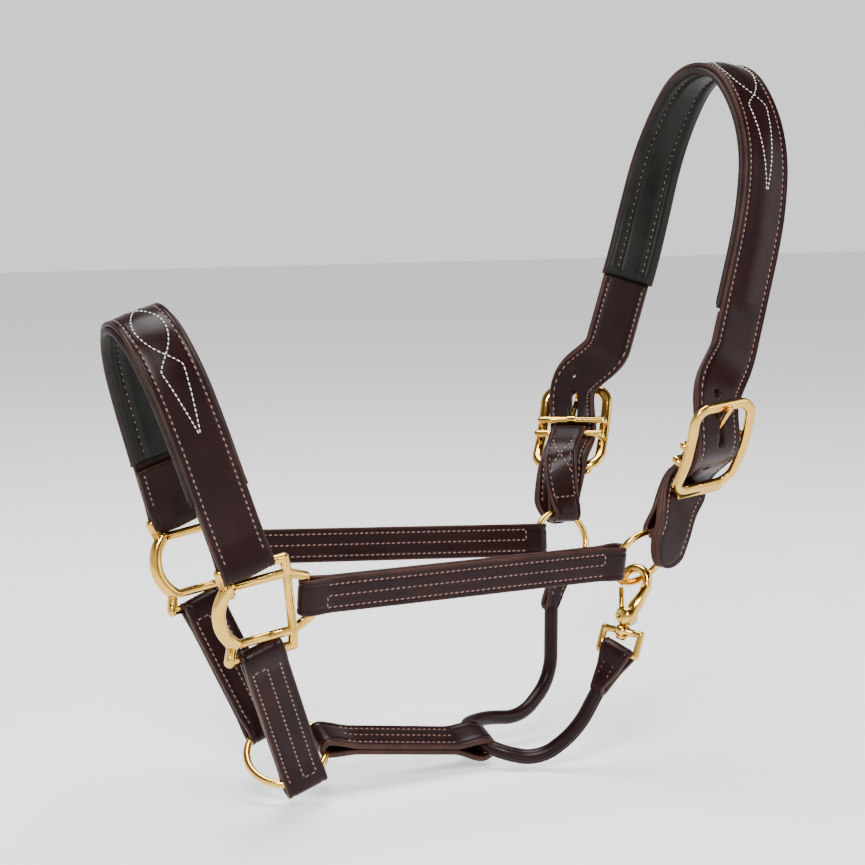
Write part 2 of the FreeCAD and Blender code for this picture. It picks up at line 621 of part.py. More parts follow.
# ---- cheek straps, chin straps and chapes --------------------------------
for name, side in SIDES.items():
    square_at = square_frames[name]
    square_up = square_at.Rotation.multVec(V(0, 1, 0))
    square_along = square_at.Rotation.multVec(V(1, 0, 0))
    front = square_at.multVec(rear_rail)
    ring = SIDE_RING_CENTRE[name]
    ring_axis = SIDE_RING_AXIS[name]
    ring_eye = SIDE_RING_WIRE + RING_CLEARANCE
    back = wire_point(ring, ring_axis, SIDE_RING_RADIUS, front - ring)
    strap, filler = doubled_strap((back - front).Length, (CHEEK_WIDTH, CHEEK_WIDTH), (rail_hole, ring_eye),
                                  (0, 4))
    placement = frame(front, back - front, square_up)
    rail_cut = rod(square_at.multVec(rear_rail - V(0, 25, 0)), square_at.multVec(rear_rail + V(0, 25, 0)),
                   rail_hole)
    strap = moved(strap, placement).cut([rail_cut, ring_cutters[name], parts[name + "_square"]])
    parts[name + "_cheek_strap"] = strap
    parts[name + "_cheek_filler"] = moved(filler, placement)

    high = square_at.multVec(bottom_rail)
    low = wire_point(LEAD_RING_CENTRE, LEAD_RING_AXIS, LEAD_RING_RADIUS, V(-0.05, side, 0))
    strap, filler = doubled_strap((low - high).Length, (CHIN_WIDTH, CHIN_WIDTH),
                                  (rail_hole, LEAD_RING_WIRE + RING_CLEARANCE), (0, 1.5))
    placement = frame(high, low - high, square_along)
    rail_cut = rod(square_at.multVec(bottom_rail - V(30, 0, 0)), square_at.multVec(bottom_rail + V(30, 0, 0)),
                   rail_hole)
    strap = moved(strap, placement).cut([rail_cut, lead_cutter, parts[name + "_square"]])
    parts[name + "_chin_strap"] = strap
    parts[name + "_chin_filler"] = moved(filler, placement)

    buckle_at = buckle_frames[name]
    strap, filler = curved_strap(chape_stations[name], (CHAPE_WIDTH, CHAPE_END_WIDTH),
                                 (TONGUE_BAR_RADIUS + 0.1, ring_eye), 4.0)
    bar_cut = moved(rod(V(-30, -CHAPE_BAR_DROP, -CHAPE_BAR_DEPTH), V(30, -CHAPE_BAR_DROP, -CHAPE_BAR_DEPTH),
                        TONGUE_BAR_RADIUS + 0.1), buckle_at)
    parts[name + "_chape"] = largest(strap.cut([bar_cut, ring_cutters[name], billet_cutters[name]]))
    parts[name + "_chape_filler"] = filler

# ---- throat strap --------------------------------------------------------
throat_path, throat_radii = route_wire(THROAT_ROUTE)
print("throat strap arcs", [round(r, 1) for r in throat_radii], "length", round(throat_path.Length, 1))
throat_roll = tube(throat_path, THROAT_ROLL_RADIUS)
core = tube(throat_path, THROAT_CORE_RADIUS)
throat_bore = tube(throat_path, THROAT_CORE_RADIUS + PLY_GAP)

ring_bottom = wire_point(SIDE_RING_CENTRE["off"], SIDE_RING_AXIS["off"], SIDE_RING_RADIUS, V(-0.2, 0, -1))
throat_ends = [(ring_bottom, THROAT_ROUTE[0], THROAT_END_WIDTH, SIDE_RING_WIRE + RING_CLEARANCE, 3.0),
               (SNAP_EYE, THROAT_ROUTE[-1], SNAP_END_WIDTH, EYE_WIRE + 0.1, 0.0)]
snap_z = unit(wire_point(SIDE_RING_CENTRE["near"], SIDE_RING_AXIS["near"], SIDE_RING_RADIUS,
                         V(0.15, 0, -1)) - SNAP_EYE)
snap_across = SNAP_FACING.cross(snap_z)
snap_at = frame(SNAP_EYE, snap_across, snap_z.cross(snap_across))
snap_at = snap_at.multiply(FreeCAD.Placement(V(0, 0, 0), FreeCAD.Rotation(V(0, 0, 1), SNAP_TURN)))
hints = [SIDE_RING_AXIS["off"].cross(V(0, 0, 1)), snap_at.Rotation.multVec(V(1, 0, 0))]
for (eye, start, width, eye_radius, reach), hint in zip(throat_ends, hints):
    end = doubled_strap((start - eye).Length + 4.0, (width, 2 * THROAT_ROLL_RADIUS), (eye_radius, 1.0),
                        (reach, 0.0))[0]
    throat_roll = throat_roll.fuse(moved(end, frame(eye, start - eye, hint)))
snap_bar_cut = moved(rod(V(-EYE_HALF, 0, 0), V(EYE_HALF, 0, 0), EYE_WIRE + 0.1), snap_at)
throat_roll = throat_roll.cut([ring_cutters["off"], snap_bar_cut, throat_bore])
parts["throat_strap"] = throat_roll
parts["throat_core"] = core

# ---- connector between the lead ring and the throat strap ----------------
loop_at = (THROAT_ROUTE[4] + THROAT_ROUTE[5]) * 0.5 + V(1.5, 0, -2)
rear = wire_point(LEAD_RING_CENTRE, LEAD_RING_AXIS, LEAD_RING_RADIUS, V(1, 0, 0))
strap, filler = doubled_strap((loop_at - rear).Length, (CONNECTOR_WIDTH, CONNECTOR_WIDTH),
                              (LEAD_RING_WIRE + RING_CLEARANCE, THROAT_ROLL_RADIUS + 0.3), (4, 0))
placement = frame(rear, loop_at - rear, THROAT_ROUTE[5] - THROAT_ROUTE[4])
strap = moved(strap, placement).cut([lead_cutter, tube(throat_path, THROAT_ROLL_RADIUS + 0.3)])
parts["chin_connector"] = strap
parts["chin_connector_filler"] = moved(filler, placement)

# ---- snap ----------------------------------------------------------------
def swivel_eye():
    corners = [V(-EYE_HALF, 0, 0), V(EYE_HALF, 0, 0), V(EYE_HALF, 0, SWIVEL_BAR), V(-EYE_HALF, 0, SWIVEL_BAR)]
    bars = [rod(a, b, EYE_WIRE) for a, b in zip(corners, corners[1:] + corners[:1])]
    boss = Part.makeCylinder(5.0, 6.0, V(0, 0, SWIVEL_BAR - 3.0), V(0, 0, 1))
    eye = boss.fuse(bars)
    return eye.cut(Part.makeCylinder(POST_RADIUS + PIVOT_CLEARANCE, 16, V(0, 0, SWIVEL_BAR - 8), V(0, 0, 1)))


def snap_body():
    left = BOW_CENTRE + V(-BOW_RADIUS, 0, 0)
    right = BOW_CENTRE + V(BOW_RADIUS, 0, 0)
    bow = tube(Part.Wire([Part.Arc(right, BOW_CENTRE + V(0, 0, BOW_RADIUS), left).toShape()]), SNAP_WIRE)
    hub = Part.makeCylinder(6.0, 12.0, V(0, -6.0, GATE_PIVOT.z), V(0, 1, 0))
    leaf = prism([V(-2.5, -3.1, 23.5), V(6.3, -3.1, 25.5), V(13.4, -3.1, 52.0), V(13.4, -3.1, 54.0),
                  V(7.0, -3.1, 54.0), V(6.6, -3.1, 48.0), V(0, -3.1, 35.5)], V(0, 6.2, 0))
    leaf = leaf.makeFillet(1.3, leaf.Edges)
    post = Part.makeCylinder(POST_RADIUS, 15.5, V(0, 0, 9.5), V(0, 0, 1))
    head = Part.makeCylinder(3.9, 2.8, V(0, 0, SWIVEL_BAR - 6.2), V(0, 0, 1))
    collar = Part.makeCylinder(4.0, 2.8, V(0, 0, SWIVEL_BAR + 3.4), V(0, 0, 1))
    nose = rod(left, left + V(0.2, 0, -1.5), SNAP_WIRE)
    solid = hub.fuse([bow, leaf, post, head, collar, nose, Part.makeSphere(SNAP_WIRE + 0.1, right)])
    slot = Part.makeBox(14, 7.4, 14, V(GATE_PIVOT.x - 9.0, -3.7, GATE_PIVOT.z - 5.4))
    pin = Part.makeCylinder(PIN_RADIUS, 24, GATE_PIVOT - V(0, 12, 0), V(0, 1, 0))
    return solid.cut([slot, pin])


def snap_gate():
    ear = Part.makeCylinder(3.8, 4.0, GATE_PIVOT - V(0, 3.4, 0), V(0, 1, 0))
    arm = rod(GATE_PIVOT + V(0, -1.4, 0), GATE_TOP, 2.0)
    arm = arm.common(Part.makeBox(26, 4.0, 50, V(-20, -3.4, 18)))
    bore = Part.makeCylinder(PIN_RADIUS + PIVOT_CLEARANCE, 24, GATE_PIVOT - V(0, 12, 0), V(0, 1, 0))
    return ear.fuse(arm).cut(bore)


gate_pin = Part.makeCylinder(PIN_RADIUS, 12.0, GATE_PIVOT - V(0, 6.0, 0), V(0, 1, 0))
spring = Part.makeCylinder(2.8, 2.4, GATE_PIVOT + V(0, 1.0, 0), V(0, 1, 0))
spring = spring.cut(Part.makeCylinder(PIN_RADIUS + 0.2, 12, GATE_PIVOT - V(0, 6, 0), V(0, 1, 0)))
for name, shape in (("snap_swivel_eye", swivel_eye()), ("snap_body", snap_body()), ("snap_gate", snap_gate()),
                    ("snap_gate_pin", gate_pin), ("snap_gate_spring", spring)):
    parts[name] = moved(shape, snap_at)

# ---- write ---------------------------------------------------------------
os.makedirs("parts", exist_ok=True)
for name, shape in parts.items():
    solids = shape.Solids
    if len(solids) != 1 or not shape.isValid():
        print("CHECK", name, len(solids), shape.isValid())
    shape = solids[0] if len(solids) == 1 else shape
    shape.exportStep("parts/" + name + ".step")
    print(name, round(shape.Volume / 1000, 2), "cm3")
print("crown base", crown_base, "near buckle", buckle_frames["near"], "off buckle", buckle_frames["off"])
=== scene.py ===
import bpy
import bmesh
import math
import numpy as np
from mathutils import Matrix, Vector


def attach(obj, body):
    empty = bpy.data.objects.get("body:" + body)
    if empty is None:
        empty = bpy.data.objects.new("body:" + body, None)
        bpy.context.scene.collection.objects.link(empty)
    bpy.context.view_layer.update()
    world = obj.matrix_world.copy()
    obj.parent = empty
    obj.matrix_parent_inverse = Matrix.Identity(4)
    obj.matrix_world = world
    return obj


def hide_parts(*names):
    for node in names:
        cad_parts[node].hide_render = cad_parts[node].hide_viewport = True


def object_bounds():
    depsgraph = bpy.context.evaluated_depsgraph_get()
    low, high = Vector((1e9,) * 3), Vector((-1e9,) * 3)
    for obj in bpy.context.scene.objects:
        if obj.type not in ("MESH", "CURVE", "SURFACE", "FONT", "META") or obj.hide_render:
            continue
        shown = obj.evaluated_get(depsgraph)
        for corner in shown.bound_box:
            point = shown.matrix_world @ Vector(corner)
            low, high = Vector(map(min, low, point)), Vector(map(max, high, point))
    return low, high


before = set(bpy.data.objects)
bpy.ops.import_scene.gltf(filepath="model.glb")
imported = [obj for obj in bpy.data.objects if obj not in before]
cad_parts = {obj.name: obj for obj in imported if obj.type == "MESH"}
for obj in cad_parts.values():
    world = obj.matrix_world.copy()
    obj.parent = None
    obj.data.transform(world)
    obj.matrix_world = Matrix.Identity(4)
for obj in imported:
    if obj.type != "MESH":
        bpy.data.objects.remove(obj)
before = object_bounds()
MM = 0.001
SIDES = {"near": -1.0, "off": 1.0}

# ---- sizes of the leather, in millimetres, as in the CAD part -------------
PLY = 3.6
BAND_WIDTH = 38.0
LINING_WIDTH = 42.0
CHEEK_WIDTH, CHIN_WIDTH, CHAPE_WIDTHS, CONNECTOR_WIDTH = 25.4, 31.0, (28.0, 23.0), 27.0
BILLET_BACKING_WIDTH = 36.0
LINING_STACK = 6.3        # foam, lining and glue lines under the crown
TURN_BACK = 52.0          # noseband strap turned back inside its leg
EDGE_ROW = 4.8            # outer stitch rows in from the edge of a band
OUTER_ROW = BAND_WIDTH / 2 - EDGE_ROW
BAND_PITCH, BAND_THREAD, BACK_THREAD, BAND_FILL = 4.5, 0.52, 0.48, 0.60
RAIL_EYE = 2.7            # inner radii of the straps' folds
BUCKLE_EYE = 2.1
EYE_BAR = 2.3
SIDE_RING_RADIUS, SIDE_EYE = 22.5, 3.0
LEAD_RING_RADIUS, LEAD_EYE = 28.2, 3.2
HOLE_RADIUS = 2.6
HOLE_RISES = (40.0, 66.0)  # punched holes above the middle of the buckle
LOW_HOLE_RISE = -19.0


def V(*a):
    return np.array(a, float)


def unit(v):
    return v / np.linalg.norm(v)


def turn(v, axis, degrees):
    a = math.radians(degrees)
    k = unit(axis)
    return v * math.cos(a) + np.cross(k, v) * math.sin(a) + k * np.dot(k, v) * (1 - math.cos(a))


# ---- the lines the leather follows ----------------------------------------
class Track:
    """A strap's middle line with its outward normal and width direction."""

    def __init__(self, stations):
        self.p, self.o, self.w = (np.array([s[i] for s in stations]) for i in range(3))
        self.s = np.concatenate([[0], np.cumsum(np.linalg.norm(np.diff(self.p, axis=0), axis=1))])
        self.length = self.s[-1]

    def at(self, s):
        """Point, normal, width direction and tangent; it runs on straight past both ends."""
        s = np.atleast_1d(np.asarray(s, float))
        c = np.clip(s, 0, self.length)
        p, o, w = (np.stack([np.interp(c, self.s, a[:, i]) for i in range(3)], 1)
                   for a in (self.p, self.o, self.w))
        o /= np.linalg.norm(o, axis=1)[:, None]
        w /= np.linalg.norm(w, axis=1)[:, None]
        t = np.stack([np.interp(np.clip(c + 0.5, 0, self.length), self.s, self.p[:, i])
                      - np.interp(np.clip(c - 0.5, 0, self.length), self.s, self.p[:, i]) for i in range(3)], 1)
        t /= np.linalg.norm(t, axis=1)[:, None]
        return p + t * (s - c)[:, None], o, w, t

    def place(self, s, w, h):
        p, o, across, _ = self.at(s)
        return p + across * np.atleast_1d(w)[:, None] + o * np.atleast_1d(h)[:, None]

    def part(self, low, high, step=2.0):
        s = np.linspace(low, high, max(3, int((high - low) / step)))
        p, o, w, _ = self.at(s)
        return Track(list(zip(p, o, w)))


def half_outline(run, step=2.0):
    stations = [(0.0, 0.0, 0.0)]
    across, down, heading = 0.0, 0.0, 0.0
    for radius, amount in run:
        length = math.radians(amount) * radius if radius else amount
        pieces = max(1, round(length / step))
        for _ in range(pieces):
            bend = math.radians(amount) / pieces if radius else 0.0
            chord = 2 * radius * math.sin(bend / 2) if radius else length / pieces
            across += chord * math.cos(heading + bend / 2)
            down += chord * math.sin(heading + bend / 2)
            heading += bend
            stations.append((across, down, heading))
    return stations


def ribbon(run, side, roll, lean, knee=1e9, twist=0.0, twist_reach=120.0):
    low, high = (math.radians(a) for a in lean)
    outline = half_outline(run)
    total = outline[-1][1]
    result = []
    for across, down, heading in outline:
        height = total - down
        straight = min(height, knee)
        shift, rise, angle = straight * math.sin(low), straight * math.cos(low), low
        if height > knee:
            rate = (high - low) / (total - knee)
            angle = low + rate * (height - knee)
            shift += (math.cos(low) - math.cos(angle)) / rate
            rise += (math.sin(angle) - math.sin(low)) / rate
        upright = V(math.sin(angle), 0, math.cos(angle))
        out = V(0, math.sin(heading) * side, 0) + upright * math.cos(heading)
        along = V(0, math.cos(heading) * side, 0) - upright * math.sin(heading)
        width = V(math.cos(angle), 0, -math.sin(angle))
        amount = -side * twist * min(down / twist_reach, 1.0)
        out, width = turn(out, along, amount), turn(width, along, amount)
        point = V(shift, across * side, rise)
        result.append(tuple(turn(v, V(1, 0, 0), roll) for v in (point, out, width, along)))
    return result


def spline(knots, widths, side, start=None, step=2.0):
    """Smooth clamped curve through the knots; the width direction blends between them."""
    k = np.array(knots)
    first = unit(k[1] - k[0]) if start is None else unit(start)
    last = unit(k[-1] - k[-2])
    h = np.linalg.norm(np.diff(k, axis=0), axis=1)
    n = len(k)
    a, b = np.zeros((n, n)), np.zeros((n, 3))
    a[0, 0] = a[-1, -1] = 1
    b[0], b[-1] = first, last
    for i in range(1, n - 1):
        a[i, i - 1], a[i, i], a[i, i + 1] = h[i], 2 * (h[i - 1] + h[i]), h[i - 1]
        b[i] = 3 * (h[i] * (k[i] - k[i - 1]) / h[i - 1] + h[i - 1] * (k[i + 1] - k[i]) / h[i])
    d = np.linalg.solve(a, b)
    result = []
    for i in range(n - 1):
        pieces = max(2, round(h[i] / step))
        for j in range(pieces + (i == n - 2)):
            u = j / pieces
            q = ((1 + 2 * u) * (1 - u) ** 2 * k[i] + u * (1 - u) ** 2 * h[i] * d[i]
                 + u * u * (3 - 2 * u) * k[i + 1] + u * u * (u - 1) * h[i] * d[i + 1])
            slope = (6 * u * u - 6 * u) * (k[i] - k[i + 1]) / h[i] + (3 * u * u - 4 * u + 1) * d[i] \
                + (3 * u * u - 2 * u) * d[i + 1]
            along = unit(slope)
            width = widths[i] * (1 - u) + widths[i + 1] * u
            width = unit(width - along * np.dot(width, along))
            result.append((q, np.cross(width, along) * side, width, along))
    return result


def both_sides(near, off):
    return [(p, o, w) for p, o, w, _ in reversed(near)][:-1] + [(p, o, w) for p, o, w, _ in off]


# ---- crown, buckles and side rings, placed as in the CAD part --------------
CROWN_RUN = [(56.0, 45.0), (130.0, 36.0), (400.0, 6.5), (0.0, 157.0)]
NOSE_RUN = [(40.0, 48.0), (90.0, 28.0), (300.0, 7.0), (0.0, 80.0)]
BUCKLE_CENTRE = {"near": V(-71.0, -112.0, -275.0), "off": V(-73.0, 82.0, -283.0)}
BUCKLE_UP = {"near": V(-0.05, -0.47, 0.88), "off": V(0.42, 0.46, 0.78)}
BUCKLE_REARWARD = {"near": V(0.99, 0.06, 0.10), "off": V(0.70, -0.71, 0.04)}
RING_CENTRE = {"near": V(-114.0, -79.0, -356.0), "off": V(-113.0, 33.0, -362.0)}
RING_AXIS = {"near": V(-0.10, 0.90, 0.42), "off": V(-0.05, 0.93, -0.36)}
LEAD_CENTRE, LEAD_AXIS = V(-374.0, -19.0, -484.0), V(-0.27, -0.51, 0.815)
HALF_FRAME = 79.0 / 2 - 3.1
CROWN_LINE = {"roll": -3.9, "lean": (18.4, 1.5), "knee": 135.0}
CROWN_TWIST = {"near": 5.0, "off": -24.0}
NOSE_LINE = {"roll": 5.0, "lean": (-18.9, -18.9)}
NOSE_BASE = V(-430.0, -19.5, -326.0)
CHAPE_BAR = (-10.0, -11.5)    # up the frame, and out of it
CHAPE_DEPTH = 24.4            # of the chape behind the frame's lower bar
BILLET_DEPTH = 15.6           # of the billet behind the frame's two bars
BILLET_CREST = 0.4            # and behind the middle of the frame
BILLET_START = 70.0           # the billets leave the even outline this far above its end
BILLET_OVER_CHAPE, BILLET_OVER_FOLD = 9.4, 12.0
BILLET_PAST_RING = {"near": 26.0, "off": 8.0}
LINING_END = {"near": -179.0, "off": -161.0}


def wire_point(centre, axis, radius, toward):
    n = unit(axis)
    return centre + unit(toward - n * np.dot(toward, n)) * radius


def buckle_point(name, y, z):
    """A point on the buckle's middle line: y up the frame, z out of it."""
    x = unit(BUCKLE_REARWARD[name] * -SIDES[name])
    n = unit(np.cross(x, BUCKLE_UP[name]))
    return BUCKLE_CENTRE[name] + np.cross(n, x) * y + n * z, x, n


chape_line, crown_half = {}, {}
for name, side in SIDES.items():
    bar, x, _ = buckle_point(name, *CHAPE_BAR)
    ring, axis = RING_CENTRE[name], RING_AXIS[name]
    low = wire_point(ring, axis, SIDE_RING_RADIUS, bar - ring)
    across = x * -side
    chape_line[name] = spline([bar, buckle_point(name, -HALF_FRAME, -CHAPE_DEPTH)[0], low],
                              [across, across, unit(np.cross(axis, bar - low))], side)
    leg = ribbon(CROWN_RUN, side, twist=CROWN_TWIST[name], **CROWN_LINE)
    base = leg[0][1] * LINING_STACK - leg[0][0]
    leg = [(p + base, o, w, t) for p, o, w, t in leg]
    end = leg[-1][0]
    leg = [s for s in leg if np.linalg.norm(s[0] - end) >= BILLET_START]
    over, last = chape_line[name][len(chape_line[name]) * 2 // 3], chape_line[name][-1]
    through = ((HALF_FRAME, -BILLET_DEPTH), (0, -BILLET_CREST), (-HALF_FRAME, -BILLET_DEPTH))
    knots = [leg[-1][0]] + [buckle_point(name, y, z)[0] for y, z in through]
    knots.append(over[0] + over[1] * BILLET_OVER_CHAPE)
    knots.append(last[0] + last[1] * BILLET_OVER_FOLD)
    knots.append(knots[-1] + last[3] * BILLET_PAST_RING[name])
    widths = [leg[-1][2], across, across, across, over[2], last[2], last[2]]
    crown_half[name] = leg + spline(knots, widths, side, leg[-1][3])[1:]
crown = Track(both_sides(crown_half["near"], crown_half["off"]))
crown_top = crown.s[len(crown_half["near"]) - 1]
nose_half = {name: [(p + NOSE_BASE, o, w, t) for p, o, w, t in ribbon(NOSE_RUN, side, **NOSE_LINE)]
             for name, side in SIDES.items()}
nose = Track(both_sides(nose_half["near"], nose_half["off"]))

# ---- squares ---------------------------------------------------------------
SQUARE_UP = {"near": V(-0.16, -0.15, 0.975), "off": V(-0.16, 0.19, 0.970)}
SQUARE_LENGTH, SQUARE_HEIGHT, RAIL_RADIUS = 43.0, 37.0, 2.6
RAIL_RISE = SQUARE_HEIGHT / 2 + RAIL_RADIUS + 11.0     # of the top and bottom rails
REAR_RAIL = SQUARE_LENGTH / 2 + RAIL_RADIUS + 13.0
STRAP_FORWARD = 4.0       # the noseband sits towards the front of its rail
square_axes, square_base = {}, {}
for name in SIDES:
    up = unit(SQUARE_UP[name])
    x = unit(V(1, 0, 0) - up * up[0])
    square_axes[name] = (x, up)
    end = nose_half[name][-1][0]
    square_base[name] = end + x * STRAP_FORWARD - up * RAIL_RISE


def square_point(name, x, y):
    ax, up = square_axes[name]
    return square_base[name] + ax * x + up * y


# ---- materials -------------------------------------------------------------
def node_material(name, colour, roughness, metallic=0.0):
    m = bpy.data.materials.new(name)
    m.use_nodes = True
    b = m.node_tree.nodes["Principled BSDF"]
    b.inputs["Base Color"].default_value = (*colour, 1)
    b.inputs["Roughness"].default_value = roughness
    b.inputs["Metallic"].default_value = metallic
    return m, m.node_tree.nodes, m.node_tree.links, b


def noise(nodes, links, vector, scale, detail=4.0, rough=0.6):
    n = nodes.new("ShaderNodeTexNoise")
    n.inputs["Scale"].default_value = scale
    n.inputs["Detail"].default_value = detail
    n.inputs["Roughness"].default_value = rough
    links.new(vector, n.inputs["Vector"])
    return n.outputs["Fac"]


def ramp(nodes, links, fac, low, high, start=0.3, end=0.7):
    r = nodes.new("ShaderNodeValToRGB")
    r.color_ramp.elements[0].position = start
    r.color_ramp.elements[1].position = end
    r.color_ramp.elements[0].color = (*low, 1)
    r.color_ramp.elements[1].color = (*high, 1)
    links.new(fac, r.inputs["Fac"])
    return r.outputs["Color"]


def spread(nodes, links, fac, low, high):
    r = nodes.new("ShaderNodeMapRange")
    r.inputs["To Min"].default_value = low
    r.inputs["To Max"].default_value = high
    links.new(fac, r.inputs["Value"])
    return r.outputs["Result"]


def add_bump(nodes, links, height, normal, strength, distance):
    b = nodes.new("ShaderNodeBump")
    b.inputs["Strength"].default_value = strength
    b.inputs["Distance"].default_value = distance
    links.new(height, b.inputs["Height"])
    if normal:
        links.new(normal, b.inputs["Normal"])
    return b.outputs["Normal"]


def leather(name, dark, light, roughness, grain=1100.0, depth=0.00012, wrinkle=0.0, coat=0.03):
    """Finished leather: mottled dye, fine pores, long soft creases along the strap."""
    m, nodes, links, b = node_material(name, dark, roughness)
    tex = nodes.new("ShaderNodeTexCoord")
    obj, uv = tex.outputs["Object"], tex.outputs["UV"]
    mottle = noise(nodes, links, obj, 38.0, 5.0)
    links.new(ramp(nodes, links, mottle, dark, light), b.inputs["Base Color"])
    links.new(spread(nodes, links, noise(nodes, links, obj, 90.0), roughness - 0.07, roughness + 0.09),
              b.inputs["Roughness"])
    b.inputs["Coat Weight"].default_value = coat
    b.inputs["Coat Roughness"].default_value = 0.22
    b.inputs["Specular IOR Level"].default_value = 0.12
    cells = nodes.new("ShaderNodeTexVoronoi")
    cells.feature = "DISTANCE_TO_EDGE"
    cells.inputs["Scale"].default_value = grain
    links.new(obj, cells.inputs["Vector"])
    normal = add_bump(nodes, links, cells.outputs["Distance"], None, 0.35, depth)
    normal = add_bump(nodes, links, noise(nodes, links, obj, 260.0, 6.0), normal, 0.25, 0.0004)
    if wrinkle:
        stretch = nodes.new("ShaderNodeMapping")
        stretch.inputs["Scale"].default_value = (900.0, 60.0, 1.0)
        links.new(uv, stretch.inputs["Vector"])
        fine = noise(nodes, links, stretch.outputs["Vector"], 1.0, 3.0)
        normal = add_bump(nodes, links, fine, normal, wrinkle, 0.0005)
    links.new(normal, b.inputs["Normal"])
    return m


def brass(name, colour=(0.76, 0.47, 0.10), roughness=0.12):
    """Cast and polished brass with faint polishing marks and a warm tarnish in patches."""
    m, nodes, links, b = node_material(name, colour, roughness, 1.0)
    tex = nodes.new("ShaderNodeTexCoord")
    obj = tex.outputs["Object"]
    patch = noise(nodes, links, obj, 45.0, 4.0)
    tarnish = tuple(c * k for c, k in zip(colour, (0.80, 0.70, 0.50)))
    links.new(ramp(nodes, links, patch, tarnish, colour, 0.25, 0.6), b.inputs["Base Color"])
    links.new(spread(nodes, links, noise(nodes, links, obj, 420.0, 6.0), roughness - 0.05, roughness + 0.10),
              b.inputs["Roughness"])
    normal = add_bump(nodes, links, noise(nodes, links, obj, 160.0, 3.0), None, 0.18, 0.0006)
    links.new(normal, b.inputs["Normal"])
    return m


def thread(name, low, high):
    """Waxed thread, twisted: fine slanting ridges."""
    m, nodes, links, b = node_material(name, low, 0.5)
    tex = nodes.new("ShaderNodeTexCoord")
    obj = tex.outputs["Object"]
    links.new(ramp(nodes, links, noise(nodes, links, obj, 300.0), low, high), b.inputs["Base Color"])
    wave = nodes.new("ShaderNodeTexWave")
    wave.inputs["Scale"].default_value = 900.0
    wave.bands_direction = "DIAGONAL"
    links.new(obj, wave.inputs["Vector"])
    links.new(add_bump(nodes, links, wave.outputs["Fac"], None, 0.5, 0.0002), b.inputs["Normal"])
    b.inputs["Sheen Weight"].default_value = 0.2
    return m


HAVANA = leather("havana leather", (0.0075, 0.0016, 0.0018), (0.0160, 0.0040, 0.0042), 0.30)
FLESH = leather("inner leather", (0.0065, 0.0018, 0.0018), (0.0140, 0.0040, 0.0040), 0.38)
EDGE = leather("burnished edge", (0.020, 0.0075, 0.0060), (0.052, 0.021, 0.015), 0.45, grain=700.0)
LINING = leather("lining leather", (0.0040, 0.0042, 0.0034), (0.0100, 0.0105, 0.0088), 0.36, grain=1500.0,
                 wrinkle=0.5, coat=0.03)
PIPING = leather("rolled lining edge", (0.014, 0.0085, 0.0075), (0.028, 0.018, 0.0155), 0.5, grain=1300.0, coat=0.0)
BRASS = brass("polished brass")
STEEL = brass("spring steel", (0.55, 0.55, 0.53), 0.3)
SALMON = thread("salmon thread", (0.17, 0.070, 0.055), (0.32, 0.150, 0.115))
WHITE = thread("white thread", (0.72, 0.70, 0.60), (0.92, 0.91, 0.84))
# near-black colour: painted shade for the hollows of the awl holes between stitches
HOLE_SHADE, _, _, _ = node_material("painted stitch hole shade", (0.004, 0.003, 0.003), 0.8)


# ---- meshes ----------------------------------------------------------------
def mesh_object(name, verts, faces, materials, index=None, uvs=None):
    me = bpy.data.meshes.new(name)
    me.from_pydata((np.asarray(verts) * MM).tolist(), [], faces)
    for m in materials:
        me.materials.append(m)
    if index is not None:
        me.polygons.foreach_set("material_index", index)
    me.polygons.foreach_set("use_smooth", [True] * len(me.polygons))
    if uvs is not None:
        layer = me.uv_layers.new(name="UVMap")
        flat = [c for f in faces for v in f for c in uvs[v]]
        layer.data.foreach_set("uv", flat)
    me.update()
    o = bpy.data.objects.new(name, me)
    bpy.context.scene.collection.objects.link(o)
    return o


def sweep(name, points, outs, widths, profile, halves, materials, closed=False):
    """Carries a cross-section (width, height, material) along the stations."""
    rings, uvs = [], []
    s = np.concatenate([[0], np.cumsum(np.linalg.norm(np.diff(points, axis=0), axis=1))])
    for i in range(len(points)):
        shape = profile(halves[i], s[i])
        k = len(shape)
        w, h = shape[:, 0], shape[:, 1]
        rings.append(points[i] + widths[i] * w[:, None] + outs[i] * h[:, None])
        around = np.concatenate([[0], np.cumsum(np.hypot(np.diff(w), np.diff(h)))])
        uvs += [(s[i] * MM, a * MM) for a in around]
    slot = profile(halves[0], 0.0)[:, 2].astype(int)
    verts = np.concatenate(rings)
    faces, index = [], []
    n = len(points)
    for i in range(n if closed else n - 1):
        j = (i + 1) % n
        for a in range(k):
            b = (a + 1) % k
            faces.append((i * k + a, j * k + a, j * k + b, i * k + b))
            index.append(slot[a])
    if not closed:
        faces += [tuple(range(k)), tuple((n - 1) * k + a for a in reversed(range(k)))]
        index += [1 if len(materials) > 1 else 0] * 2
    return mesh_object(name, verts, faces, materials, index, uvs)


